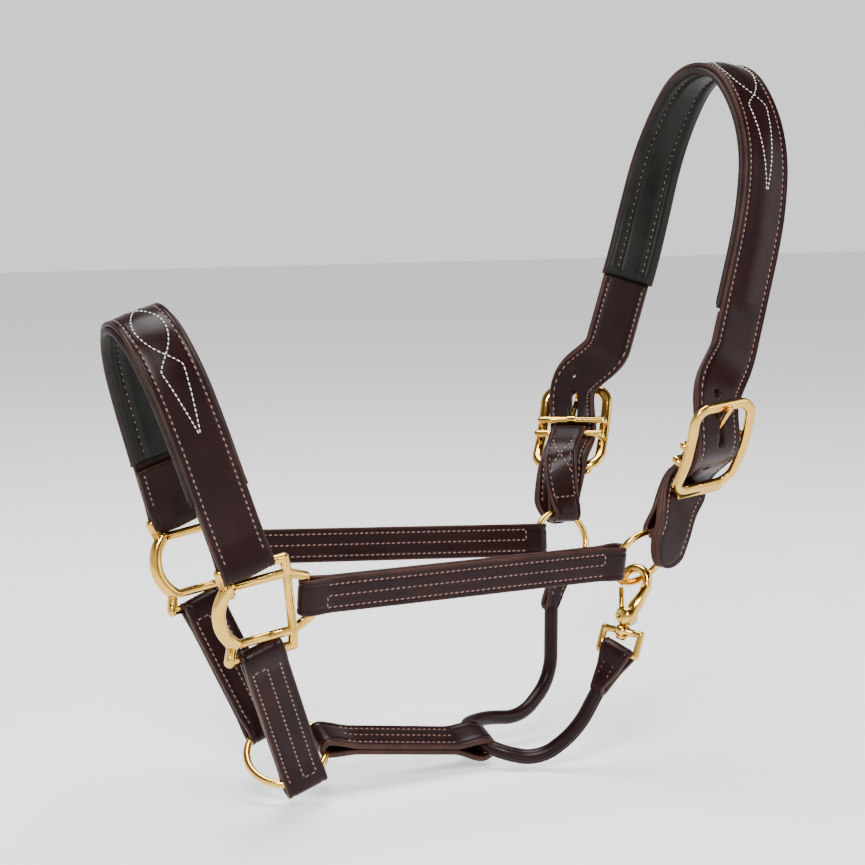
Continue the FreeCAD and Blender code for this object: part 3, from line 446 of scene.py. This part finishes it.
def ply_section(low, high, edge=1.25, groove=None, crease=None, hump=0.0):
    """One thickness of leather: rounded edges, a groove for each stitch row and a crease by each edge.

    Materials: 0 grain side, 1 edges, 2 underside."""
    def heights(w, half):
        h = high + hump * max(0.0, 1 - (w / (half * 0.62)) ** 2) ** 2
        if groove is not None:
            h -= 0.55 * math.exp(-((half - abs(w) - groove) / 0.8) ** 2)
        if crease is not None:
            h -= 0.45 * math.exp(-((half - abs(w) - crease) / 0.45) ** 2)
        return h

    def make(half, _s):
        r = min(edge, half * 0.45)
        insets = [0.0]
        for mark, spread_out in ((groove, 0.9), (crease, 0.5)):
            if mark is not None:
                insets += [mark - r + spread_out * k for k in (-2, -1, 0, 1, 2)]
        insets = sorted(max(0.0, i) for i in insets)
        side = [max(0.0, half - r - i) for i in insets]
        inner = side[-1]
        middle = [inner * f for f in (0.75, 0.5, 0.25, 0.0, -0.25, -0.5, -0.75)]
        line = side + middle + [-w for w in reversed(side)]
        points = [(w, heights(w, half), 0) for w in line]
        points[-1] = (points[-1][0], points[-1][1], 1)
        for a in (30, 60, 90):
            c = math.radians(a)
            points.append((-(half - r) - r * math.sin(c), high - r + r * math.cos(c), 1))
        for a in (90, 60, 30):
            c = math.radians(a)
            points.append((-(half - r) - r * math.sin(c), low + r - r * math.cos(c), 1))
        points += [(-(half - r), low, 2), (0.0, low, 2), (half - r, low, 1)]
        for a in (30, 60, 90):
            c = math.radians(a)
            points.append(((half - r) + r * math.sin(c), low + r - r * math.cos(c), 1))
        for a in (90, 60, 30):
            c = math.radians(a)
            points.append(((half - r) + r * math.sin(c), high - r + r * math.cos(c), 1))
        return np.array(points)
    return make


def ease(x):
    x = min(max(x, 0.0), 1.0)
    return x * x * (3 - 2 * x)


STITCH_RING = [(math.cos(a), math.sin(a)) for a in np.linspace(0, 2 * math.pi, 7)[:-1]]


class Stitching:
    """Gathers stitches and flat dark discs of painted shade for the awl holes between them into one mesh."""

    def __init__(self):
        self.v, self.f, self.m = [], [], []

    def stitch(self, a, b, out, radius):
        t = unit(b - a)
        side = unit(np.cross(t, out))
        up = np.cross(side, t)
        half = np.linalg.norm(b - a) / 2
        mid = (a + b) / 2
        n = len(self.v)
        for x, r in ((-0.82, 0.62), (-0.35, 1.0), (0.35, 1.0), (0.82, 0.62)):
            for c, s in STITCH_RING:
                self.v.append(mid + t * (x * half) + (side * c + up * s * 0.85) * (radius * r)
                              - up * (radius * 0.5 * x * x))
        self.v += [a - up * radius * 0.7, b - up * radius * 0.7]
        for ring in range(3):
            for i in range(6):
                j = (i + 1) % 6
                self.f.append((n + ring * 6 + i, n + ring * 6 + j, n + ring * 6 + 6 + j, n + ring * 6 + 6 + i))
                self.m.append(0)
        for i in range(6):
            j = (i + 1) % 6
            self.f += [(n + j, n + i, n + 24), (n + 18 + i, n + 18 + j, n + 25)]
            self.m += [0, 0]

    # a flat near-black disc: painted shade standing in for the hollow of an awl hole
    def hole(self, at, t, out, radius):
        side = unit(np.cross(t, out))
        n = len(self.v)
        self.v += [at + t * (c * radius * 1.1) + side * (s * radius) for c, s in STITCH_RING]
        self.f.append(tuple(range(n, n + 6)))
        self.m.append(1)

    def row(self, place, length, pitch, radius=0.5, fill=0.66, start=0.0, slant=0.18):
        """place(x) gives points and normals along the row, in millimetres."""
        count = max(1, round(length / pitch))
        step = length / count
        x = start + step * (np.arange(count) + 0.5)
        half = step * fill / 2
        a, _ = place(x - half)
        b, _ = place(x + half)
        mid, out = place(x)
        ends, ends_out = place(start + step * np.arange(count + 1))
        for i in range(count):
            across = np.cross(out[i], unit(b[i] - a[i])) * slant * half
            self.stitch(a[i] - across, b[i] + across, out[i], radius)
        for i in range(1, count):
            t = unit(mid[i] - mid[i - 1])
            self.hole(ends[i] + ends_out[i] * 0.10, t, ends_out[i], radius * 1.05)

    def path(self, place, points, pitch, radius=0.42, fill=0.74):
        """Stitches along a drawn (s, w) line."""
        pts = np.array(points, float)
        run = np.concatenate([[0], np.cumsum(np.hypot(*np.diff(pts, axis=0).T))])

        def along(x):
            return place(np.interp(x, run, pts[:, 0]), np.interp(x, run, pts[:, 1]))
        self.row(along, run[-1], pitch, radius, fill, slant=0.05)

    def build(self, name, material):
        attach(mesh_object(name, self.v, self.f, [material, HOLE_SHADE], self.m), "headcollar")


def on_face(track, w, h, flip=1.0):
    """Row placement at a constant width and height on a track."""
    def place(x):
        _, o, _, _ = track.at(x)
        return track.place(x, np.full(len(x), w), np.full(len(x), h)), o * flip
    return place


def finish_piece(o, replaced, body="headcollar"):
    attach(o, body)
    if replaced:
        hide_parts(*replaced)


# ---- crown -----------------------------------------------------------------
def crown_s(name):
    """Distance along the crown where its lining ends on one side."""
    z = crown.p[:, 2]
    keep = crown.s < crown_top if name == "near" else crown.s > crown_top
    high = keep & (z > LINING_END[name])
    return crown.s[high].min() if name == "near" else crown.s[high].max()


lined = (crown_s("near"), crown_s("off"))


POINT_LENGTH = 17.0       # the billets' ends are pointed over this length


def point_width(distance, half):
    """Half width near a pointed, rounded end."""
    x = min(max(distance / POINT_LENGTH, 0.0), 1.0)
    return half * (0.45 * math.sqrt(1 - (1 - x) ** 2) + 0.55 * math.sqrt(x)) if x < 1 else half


def crown_section(half, s):
    near = ease((s - lined[0]) / 12) * ease((lined[1] - s) / 12)
    return ply_section(0.0, PLY, groove=EDGE_ROW, crease=2.2, hump=1.3 * near)(half, s)


def strap_along(name, track, section, half, step=1.6, tips=(False, False), materials=None):
    count = int(track.length / step)
    s = np.linspace(0.02, track.length - 0.02, count)
    extra = np.array([0.3, 0.9, 1.8, 3.0, 4.6])
    s = np.unique(np.concatenate([s, extra, track.length - extra]))
    p, o, w, _ = track.at(s)
    halves = []
    for x in s:
        h = half
        if tips[0]:
            h = min(h, point_width(x, half))
        if tips[1]:
            h = min(h, point_width(track.length - x, half))
        halves.append(max(h, 0.6))
    return sweep(name, p, o, w, section, halves, materials or [HAVANA, EDGE, FLESH])


strap = strap_along("crown_leather", crown, crown_section, BAND_WIDTH / 2, tips=(True, True))
finish_piece(strap, ["crown_strap"])


LINING_ROWS = 0.52        # the lining's stitched valleys, as a share of its half width
LINING_ROLL = 1.6         # radius of its rolled edges
LINING_TOTAL = 6.1


def lining_section(half):
    """Soft padded lining: rolled edges, two stitched valleys and a raised centre."""
    points = []
    inner = half - LINING_ROLL
    for i in range(41):
        u = 1 - i / 20.0
        w = inner * u
        body = LINING_TOTAL - 1.9 * math.exp(-((abs(u) - LINING_ROWS) / 0.09) ** 2)
        body -= 1.4 * ease((abs(u) - 0.78) / 0.22)
        body += 0.5 * math.cos(u * math.pi * 0.9) if abs(u) < LINING_ROWS else 0.0
        points.append((w, -0.05 - body, 2 if abs(u) > 0.97 else 0))
    for a in range(15, 180, 25):
        c = math.radians(a)
        points.append((-inner - 1.9 * math.sin(c), -2.4 - 2.1 * math.cos(c), 2))
    points += [(-inner, -0.15, 2), (inner, -0.15, 2)]
    for a in range(165, 0, -25):
        c = math.radians(a)
        points.append((inner + 1.9 * math.sin(c), -2.4 - 2.1 * math.cos(c), 2))
    return np.array(points[::-1])


def lining_piece(name, track, replaced):
    def section(half, s):
        end = min(s, track.length - s)
        flat = 0.35 + 0.65 * ease(end / 5.0)
        shape = lining_section(half)
        shape[:, 1] *= flat
        return shape
    s = np.linspace(0, track.length, int(track.length / 1.8))
    p, o, w, _ = track.at(s)
    piece = sweep(name, p, o, w, section, [LINING_WIDTH / 2] * len(s), [LINING, LINING, PIPING])
    finish_piece(piece, replaced)
    rows = Stitching()
    for hand in (-1, 1):
        face = on_face(track, hand * LINING_ROWS * (LINING_WIDTH / 2 - LINING_ROLL), -4.45, -1.0)
        rows.row(face, track.length - 14, 5.7, 0.42, 0.34, start=7.0)
    rows.build(name + "_stitches", SALMON)


lining_piece("crown_lining_pad", crown.part(*lined), ["crown_lining", "crown_padding"])
for name in SIDES:
    ends = (0.0, lined[0] - 2) if name == "near" else (lined[1] + 2, crown.length)
    track = crown.part(*ends)
    count = int(track.length / 1.6)
    extra = np.array([0.3, 0.9, 1.8, 3.0])
    s = np.unique(np.concatenate([np.linspace(0.02, track.length - 0.02, count), extra, track.length - extra]))
    p, o, w, _ = track.at(s)
    widest = BILLET_BACKING_WIDTH / 2
    halves = [max(0.6, min(widest, point_width(x if name == "near" else track.length - x, widest))) for x in s]
    piece = sweep(name + "_billet_inner", p, -o, -w, ply_section(0.05, PLY + 0.05, groove=EDGE_ROW - 1.0),
                  halves, [FLESH, EDGE, FLESH])
    finish_piece(piece, [name + "_billet_backing"])


def buckle_prism(name, outline, low, high):
    """Prism of a drawn outline (x, y) in a buckle's own axes, between two heights."""
    verts = []
    for z in (low, high):
        for x, y in outline:
            base, across, out = buckle_point(name, y, z)
            verts.append(base + across * x)
    n = len(outline)
    faces = [tuple(reversed(range(n))), tuple(range(n, 2 * n))]
    faces += [(i, (i + 1) % n, n + (i + 1) % n, n + i) for i in range(n)]
    return mesh_object("cutter", verts, faces, [EDGE])


def capsule(low, high, radius):
    """Outline of a slot between two heights up the buckle."""
    return [(radius * math.cos(a), (high if math.sin(a) > 0 else low) + radius * math.sin(a))
            for a in np.linspace(0.06, 2 * math.pi + 0.06, 25)[:-1]]


def punch(o, name):
    """Punches a billet: two adjustment holes, one below and the slot the tongue comes through."""
    cuts = [(capsule(rise, rise, HOLE_RADIUS), low, 20) for rise, low in zip(HOLE_RISES, (-60, -90))]
    cuts.append((capsule(LOW_HOLE_RISE, LOW_HOLE_RISE, HOLE_RADIUS), -20, 8))
    cuts.append((capsule(8.3, 28.0, 2.9), -14, 6))
    for outline, low, high in cuts:
        cutter = buckle_prism(name, outline, low, high)
        cut = o.modifiers.new("punch", "BOOLEAN")
        cut.operation = "DIFFERENCE"
        cut.solver = "EXACT"
        cut.object = cutter
        bpy.context.view_layer.update()
        solid = bpy.data.meshes.new_from_object(o.evaluated_get(bpy.context.evaluated_depsgraph_get()))
        o.modifiers.clear()
        o.data = solid
        bpy.data.objects.remove(cutter)


for name in SIDES:
    punch(strap, name)
    punch(bpy.data.objects[name + "_billet_inner"], name)

rows = Stitching()
for w_row in (-OUTER_ROW, OUTER_ROW):
    rows.row(on_face(crown, w_row, PLY - 0.35), crown.length - 2 * POINT_LENGTH, BAND_PITCH, BAND_THREAD, BAND_FILL,
             start=POINT_LENGTH)
for start, stop in ((POINT_LENGTH, lined[0] - 6), (lined[1] + 6, crown.length - POINT_LENGTH)):
    for w_row in (-OUTER_ROW, OUTER_ROW):
        rows.row(on_face(crown, w_row, -PLY + 0.25, -1.0), stop - start, BAND_PITCH, BACK_THREAD, BAND_FILL,
                 start=start)
rows.build("crown_stitching", SALMON)


def white_pattern(track, top, name, lens, tip):
    """Fancy stitching: a lens each side of a cross at the top, then a long point."""
    def place(s, w):
        _, o, _, _ = track.at(s)
        lift = 1.15 * np.maximum(0, 1 - (w / (BAND_WIDTH / 2 * 0.62)) ** 2) ** 2
        return track.place(s, w, PLY + lift + 0.1), o
    rows = Stitching()
    for way in (-1, 1):
        for hand in (-1, 1):
            line = [(top + way * x, hand * lens[1] * math.sin(math.pi * x / lens[0]) ** 0.85)
                    for x in np.linspace(0, lens[0], 21)]
            line += [(top + way * (lens[0] + 8.5), -hand * 7.6), (top + way * (lens[0] + 10.5), -hand * 7.9),
                     (top + way * tip, -hand * 0.5)]
            rows.path(place, line, 3.4)
    rows.build(name, WHITE)


white_pattern(crown, crown_top, "crown_white_stitching", (60.0, 12.5), 138.0)

# ---- noseband --------------------------------------------------------------
WRAP = RAIL_EYE + PLY / 2


def off_middle(distance):
    """Height of a ply's middle over the noseband's line, this far from its rail."""
    return PLY / 2 + (WRAP - PLY / 2) * ease(1 - distance / 22.0)


def nose_loop():
    """Path of the noseband strap: up inside, round the rail, over the arch and back."""
    pts, outs, wids = [], [], []

    def add(s, h, flip=1.0):
        p, o, w, _ = nose.at(s)
        pts.append(p[0] + o[0] * h)
        outs.append(o[0] * flip)
        wids.append(w[0])

    def wrap(s, sign):
        p, o, w, t = (a[0] for a in nose.at(s))
        for a in np.linspace(10, 170, 13):
            c = math.radians(a)
            ray = (o * math.cos(c) + t * math.sin(c)) * sign
            pts.append(p + ray * WRAP)
            outs.append(ray)
            wids.append(w)

    for s in np.arange(TURN_BACK - 4, 0.5, -2.0):
        add(s, -off_middle(s), -1.0)
    wrap(0.0, -1.0)
    for s in np.arange(1.0, nose.length, 1.8):
        add(s, off_middle(min(s, nose.length - s)))
    wrap(nose.length, 1.0)
    for s in np.arange(0.5, TURN_BACK - 4, 2.0):
        add(nose.length - s, -off_middle(s), -1.0)
    return np.array(pts), np.array(outs), np.array(wids)


pts, outs, wids = nose_loop()
section = ply_section(-PLY / 2, PLY / 2, groove=EDGE_ROW, crease=2.2, hump=0.6)
piece = sweep("noseband_leather", pts, outs, wids, section, [BAND_WIDTH / 2] * len(pts), [HAVANA, EDGE, FLESH])
finish_piece(piece, ["noseband_strap"])
nose_lined = nose.part(TURN_BACK, nose.length - TURN_BACK)
lining_piece("noseband_lining_pad", nose_lined, ["noseband_lining", "noseband_padding"])


def nose_face(w):
    def place(x):
        _, o, _, _ = nose.at(x)
        lift = np.array([off_middle(e) for e in np.minimum(x, nose.length - x)])
        return nose.place(x, np.full(len(x), w), lift + PLY / 2 - 0.33), o
    return place


rows = Stitching()
for w_row in (-OUTER_ROW, OUTER_ROW):
    rows.row(nose_face(w_row), nose.length - 16, BAND_PITCH, BAND_THREAD, BAND_FILL, start=8.0)
    for start, stop in ((8.0, TURN_BACK - 8), (nose.length - TURN_BACK + 8, nose.length - 8.0)):
        rows.row(on_face(nose, w_row, -PLY + 0.25, -1.0), stop - start, BAND_PITCH, BACK_THREAD, BAND_FILL,
                 start=start)
rows.build("noseband_stitching", SALMON)
white_pattern(nose, nose.length / 2, "noseband_white_stitching", (44.0, 10.5), 98.0)


# ---- doubled straps folded round a bar at each end --------------------------
def doubled(name, track, widths, eyes, replaced, rows_at, ply=4.2, taper=18.0, pitch=4.3, ends_in=(13.0, 13.0),
            box=(), cross=None):
    """Strap folded round a bar at each end.

    rows_at are the stitch rows across it; box closes them with short rows (distance, from, to);
    cross is two curved rows that cross, between two distances and this far to each side."""
    gap = ply / 2 + 0.2
    length = track.length

    def height(x):
        h = gap + (eyes[0] + ply / 2 - gap) * ease(1 - x / taper)
        return h + (eyes[1] + ply / 2 - gap) * ease(1 - (length - x) / taper)

    pts, outs, wids, halves = [], [], [], []

    def add(x, h, ox, oz):
        p, o, w, t = (a[0] for a in track.at(x))
        pts.append(p + o * h)
        outs.append(unit(t * ox + o * oz))
        wids.append(w)
        share = min(max(x / length, 0), 1)
        halves.append((widths[0] * (1 - share) + widths[1] * share) / 2)

    run = np.linspace(0, length, max(8, int(length / 2.0)))
    for x in run:
        add(x, height(x), 0, 1)
    for a in np.linspace(0, 180, 14)[1:-1]:
        c = math.radians(a)
        r = eyes[1] + ply / 2
        add(length + r * math.sin(c), r * math.cos(c), math.sin(c), math.cos(c))
    for x in run[::-1]:
        add(x, -height(x), 0, -1)
    for a in np.linspace(180, 360, 14)[1:-1]:
        c = math.radians(a)
        r = eyes[0] + ply / 2
        add(r * math.sin(c), r * math.cos(c), math.sin(c), math.cos(c))
    outer_row = abs(rows_at[0])
    section = ply_section(-ply / 2, ply / 2, edge=1.3, groove=max(2.6, min(widths) / 2 - outer_row))
    piece = sweep(name, np.array(pts), np.array(outs), np.array(wids), section, halves,
                  [HAVANA, EDGE, FLESH], closed=True)
    finish_piece(piece, replaced)
    rows = Stitching()

    def face(w, sign):
        def place(x):
            _, o, _, _ = track.at(x)
            h = np.array([height(v) for v in x]) + ply / 2 - (0.3 if abs(w) == outer_row else 0.0)
            return track.place(x, np.full(len(x), w), h * sign), o * sign
        return place
    for sign in (1.0, -1.0):
        for w_row in rows_at:
            rows.row(face(w_row, sign), length - sum(ends_in), pitch, 0.5, start=ends_in[0])
        for x, low, high in box:
            def across(v, x=x, low=low, high=high):
                w = np.interp(v, [0, abs(high - low)], [low, high])
                xs = np.full(len(v), x)
                h = np.array([height(x)] * len(v)) + ply / 2
                return track.place(xs, w, h * sign), track.at(xs)[1] * sign
            rows.row(across, abs(high - low), pitch, 0.5)
        if cross:
            def crossed(x, w):
                h = np.array([height(v) for v in x]) + ply / 2
                return track.place(x, w, h * sign), track.at(x)[1] * sign
            low, high, reach = cross
            for hand in (-1, 1):
                line = [(low + (high - low) * u, hand * reach * math.cos(math.pi * u))
                        for u in np.linspace(0, 1, 13)]
                rows.path(crossed, line, pitch, 0.5)
    rows.build(name + "_stitching", SALMON)


def straight(a, b, across, side):
    """Track from a to b, its width along `across` and its outer face to `side`."""
    along = unit(b - a)
    w = unit(across - along * np.dot(across, along))
    out = np.cross(w, along)
    if np.dot(out, side) < 0:
        out = -out
    n = max(3, int(np.linalg.norm(b - a) / 4))
    return Track([(a + (b - a) * i / n, out, w) for i in range(n + 1)])


for name, side in SIDES.items():
    x_axis, up = square_axes[name]
    outward = V(0, side, 0)
    rail = square_point(name, REAR_RAIL, 0)
    ring, axis = RING_CENTRE[name], RING_AXIS[name]
    back = wire_point(ring, axis, SIDE_RING_RADIUS, rail - ring)
    doubled(name + "_cheek", straight(rail, back, up, outward), (CHEEK_WIDTH,) * 2, (RAIL_EYE, SIDE_EYE),
            [name + "_cheek_strap", name + "_cheek_filler"], (-8.2, 0.2, 8.2),
            box=((13.0, -8.2, 0.2), (np.linalg.norm(back - rail) - 13.0, 0.2, 8.2)))
    rail = square_point(name, 0, -RAIL_RISE)
    low = wire_point(LEAD_CENTRE, LEAD_AXIS, LEAD_RING_RADIUS, V(-0.05, side, 0))
    doubled(name + "_chin", straight(rail, low, x_axis, outward), (CHIN_WIDTH,) * 2, (RAIL_EYE, LEAD_EYE),
            [name + "_chin_strap", name + "_chin_filler"], (-11.4, -0.8, 8.8), ends_in=(9.0, 7.5),
            box=((9.0, -11.4, -0.8), (np.linalg.norm(low - rail) - 7.5, -0.8, 8.8)))
    track = Track([s[:3] for s in chape_line[name]])
    ends = (12.0, 13.0)
    doubled(name + "_chape_leather", track, CHAPE_WIDTHS, (BUCKLE_EYE, SIDE_EYE),
            [name + "_chape", name + "_chape_filler"], (-8.4, 8.4), ends_in=ends,
            box=[(track.length - ends[1], -8.4, 8.4)], cross=(ends[0] + 6.0, ends[0] + 34.0, 7.6))

# ---- throat strap ----------------------------------------------------------
ROUTE = [V(-124, 30, -409), V(-126, 27, -472), V(-160, 15, -496), V(-196, 10, -490), V(-226, -6, -489),
         V(-214, -36, -501), V(-184, -53, -508), V(-158, -64, -486), V(-141, -71, -450)]
ROLL = 5.5


def rolled_route(points, step=2.0):
    line = [points[0]]
    for before, corner, after in zip(points, points[1:], points[2:]):
        a, b = unit(before - corner), unit(after - corner)
        half = (math.pi - math.acos(np.dot(a, b))) / 2
        setback = 0.45 * min(np.linalg.norm(before - corner), np.linalg.norm(after - corner))
        radius = setback / math.tan(half)
        centre = corner + unit(a + b) * (radius / math.cos(half))
        first, last = corner + a * setback, corner + b * setback
        line += [line[-1] + (first - line[-1]) * k / 6 for k in range(1, 6)]
        u = unit(first - centre)
        n = unit((last - centre) - u * np.dot(last - centre, u))
        for k in np.linspace(0, 2 * half, max(4, int(2 * half * radius / step))):
            line.append(centre + (u * math.cos(k) + n * math.sin(k)) * radius)
    line += [line[-1] + (points[-1] - line[-1]) * k / 6 for k in range(1, 7)]
    normal = unit(np.cross(line[1] - line[0], V(1, 0, 0)))
    stations = []
    for i, p in enumerate(line):
        t = unit(line[min(i + 1, len(line) - 1)] - line[max(i - 1, 0)])
        normal = unit(normal - t * np.dot(normal, t))
        stations.append((p, normal, np.cross(normal, t)))
    return Track(stations)


throat = rolled_route(ROUTE)


def roll_section(half, _s):
    """Round roll with a pinched seam along one side."""
    points = []
    for a in np.linspace(0, 360, 29)[:-1]:
        c = math.radians(a)
        seam = math.exp(-((a - 180) / 9) ** 2)
        ridge = math.exp(-((abs(a - 180) - 22) / 12) ** 2)
        r = half - 0.9 * seam + 0.25 * ridge
        points.append((r * math.sin(c), r * math.cos(c), 0))
    return np.array(points)


s = np.linspace(0, throat.length, int(throat.length / 1.8))
p, o, w, _ = throat.at(s)
halves = [ROLL * (0.72 + 0.28 * ease(min(x, throat.length - x) / 8)) for x in s]
piece = sweep("throat_roll", p, o, w, roll_section, halves, [HAVANA])
finish_piece(piece, ["throat_strap", "throat_core"])
rows = Stitching()
rows.row(on_face(throat, 1.9, -ROLL + 0.35, -1.0), throat.length - 30, 4.6, 0.42, start=15.0)
rows.build("throat_seam_stitching", SALMON)
ring_low = wire_point(RING_CENTRE["off"], RING_AXIS["off"], SIDE_RING_RADIUS, V(-0.2, 0, -1))
SNAP_EYE = V(-130.0, -75.0, -427.0)
snap_up = unit(wire_point(RING_CENTRE["near"], RING_AXIS["near"], SIDE_RING_RADIUS, V(0.15, 0, -1)) - SNAP_EYE)
snap_across = turn(unit(np.cross(V(0.778, 0.597, -0.194), snap_up)), snap_up, -10.0)
for name, a, b, hint, widths, eye in (
        ("throat_off_end", ring_low, ROUTE[0], np.cross(RING_AXIS["off"], V(0, 0, 1)), (20.0, 11.5), SIDE_EYE),
        ("throat_near_end", SNAP_EYE, ROUTE[-1], snap_across, (26.0, 11.5), EYE_BAR)):
    beyond = b + unit(b - a) * 3.0
    outward = V(0, 1, 0) if "off" in name else V(0, -1, 0)
    doubled(name, straight(a, beyond, hint, outward), widths, (eye, 1.4), [], (-4.2, 4.2), taper=14.0,
            ends_in=(9.0, 8.0))

# ---- connector -------------------------------------------------------------
loop_at = (ROUTE[4] + ROUTE[5]) * 0.5 + V(1.5, 0, -2)
rear = wire_point(LEAD_CENTRE, LEAD_AXIS, LEAD_RING_RADIUS, V(1, 0, 0))
track = straight(rear, loop_at, ROUTE[5] - ROUTE[4], V(0, -0.3, 1))
doubled("connector", track, (CONNECTOR_WIDTH,) * 2, (LEAD_EYE, ROLL + 0.3),
        ["chin_connector", "chin_connector_filler"], (-8.6, 0.0, 8.6), taper=26.0, ends_in=(14.0, 24.0))

# ---- brass -----------------------------------------------------------------
def cast(name, grow, normal=None, body="headcollar"):
    """A casting's shown surface: the part's own, fuller by a little; flatter along a normal."""
    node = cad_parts[name]
    me = node.data.copy()
    work = bmesh.new()
    work.from_mesh(me)
    bmesh.ops.remove_doubles(work, verts=work.verts, dist=1e-6)
    work.normal_update()
    for v in work.verts:
        way = v.normal.copy()
        if normal is not None:
            way -= normal * way.dot(normal)
        v.co += way * (grow * MM)
    work.to_mesh(me)
    work.free()
    me.name = name + "_casting"
    o = bpy.data.objects.new(name + "_casting", me)
    o.matrix_world = node.matrix_world
    me.materials.clear()
    me.materials.append(BRASS)
    me.polygons.foreach_set("use_smooth", [True] * len(me.polygons))
    bpy.context.scene.collection.objects.link(o)
    finish_piece(o, [name], body)


for name in SIDES:
    cast(name + "_square", 0.75)
    cast(name + "_buckle_frame", 1.1, Vector(buckle_point(name, 0, 0)[2]))
cast("snap_swivel_eye", 0.6)
cast("snap_body", 0.25, body="snap")

for name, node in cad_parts.items():
    if node.hide_render:
        continue
    node.data.materials.clear()
    node.data.materials.append(STEEL if "spring" in name else BRASS)
    node.data.polygons.foreach_set("use_smooth", [True] * len(node.data.polygons))

# ---- stage -----------------------------------------------------------------
low, high = before
floor_z = low.z - 0.004


def plane(name, size, location, material):
    """Square floor of a given size, part of the stage."""
    me = bpy.data.meshes.new(name)
    h = size / 2
    me.from_pydata([(-h, -h, 0), (h, -h, 0), (h, h, 0), (-h, h, 0)], [], [(0, 1, 2, 3)])
    me.materials.append(material)
    o = bpy.data.objects.new(name, me)
    o.location = location
    bpy.context.scene.collection.objects.link(o)


paper, _, _, paper_bsdf = node_material("pale floor", (0.90, 0.90, 0.90), 0.9)
paper_bsdf.inputs["Emission Color"].default_value = (1.0, 1.0, 1.0, 1)
paper_bsdf.inputs["Emission Strength"].default_value = 0.58
plane("floor", 14.0, (-0.25, 0.0, floor_z), paper)

world = bpy.data.worlds.new("studio")
bpy.context.scene.world = world
world.use_nodes = True
background = world.node_tree.nodes["Background"]
sky_nodes, sky_links = world.node_tree.nodes, world.node_tree.links
direction = sky_nodes.new("ShaderNodeTexCoord")
split = sky_nodes.new("ShaderNodeSeparateXYZ")
sky_links.new(direction.outputs["Generated"], split.inputs["Vector"])
sky_links.new(ramp(sky_nodes, sky_links, split.outputs["Z"], (1.0, 1.0, 1.0), (0.10, 0.10, 0.11), 0.22, 0.60),
              background.inputs["Color"])
background.inputs["Strength"].default_value = 1.15


def area(name, location, target, size, power):
    light = bpy.data.lights.new(name, "AREA")
    light.shape = "RECTANGLE"
    light.size, light.size_y = size
    light.energy = power
    o = bpy.data.objects.new(name, light)
    o.location = location
    direction = Vector(target) - Vector(location)
    o.rotation_mode = "QUATERNION"
    o.rotation_quaternion = direction.to_track_quat("-Z", "Y")
    bpy.context.scene.collection.objects.link(o)


centre = (-0.256, -0.019, -0.261)
area("key", (-1.3, -1.5, 1.2), centre, (0.7, 0.7), 56)
area("fill", (1.1, -1.2, 0.3), centre, (1.2, 1.2), 12)
area("top", (-0.2, 0.3, 1.5), centre, (1.2, 1.2), 52)

camera = bpy.data.objects.new("camera", bpy.data.cameras.new("camera"))
bpy.context.scene.collection.objects.link(camera)
camera.data.lens = 80
camera.data.sensor_width = 36
azimuth, elevation = math.radians(27.7), math.radians(7.8)
view = Vector((math.sin(azimuth) * math.cos(elevation), math.cos(azimuth) * math.cos(elevation),
                  -math.sin(elevation)))
camera.location = Vector(centre) - view * 1.398
camera.rotation_mode = "QUATERNION"
camera.rotation_quaternion = view.to_track_quat("-Z", "Y")
bpy.context.scene.camera = camera
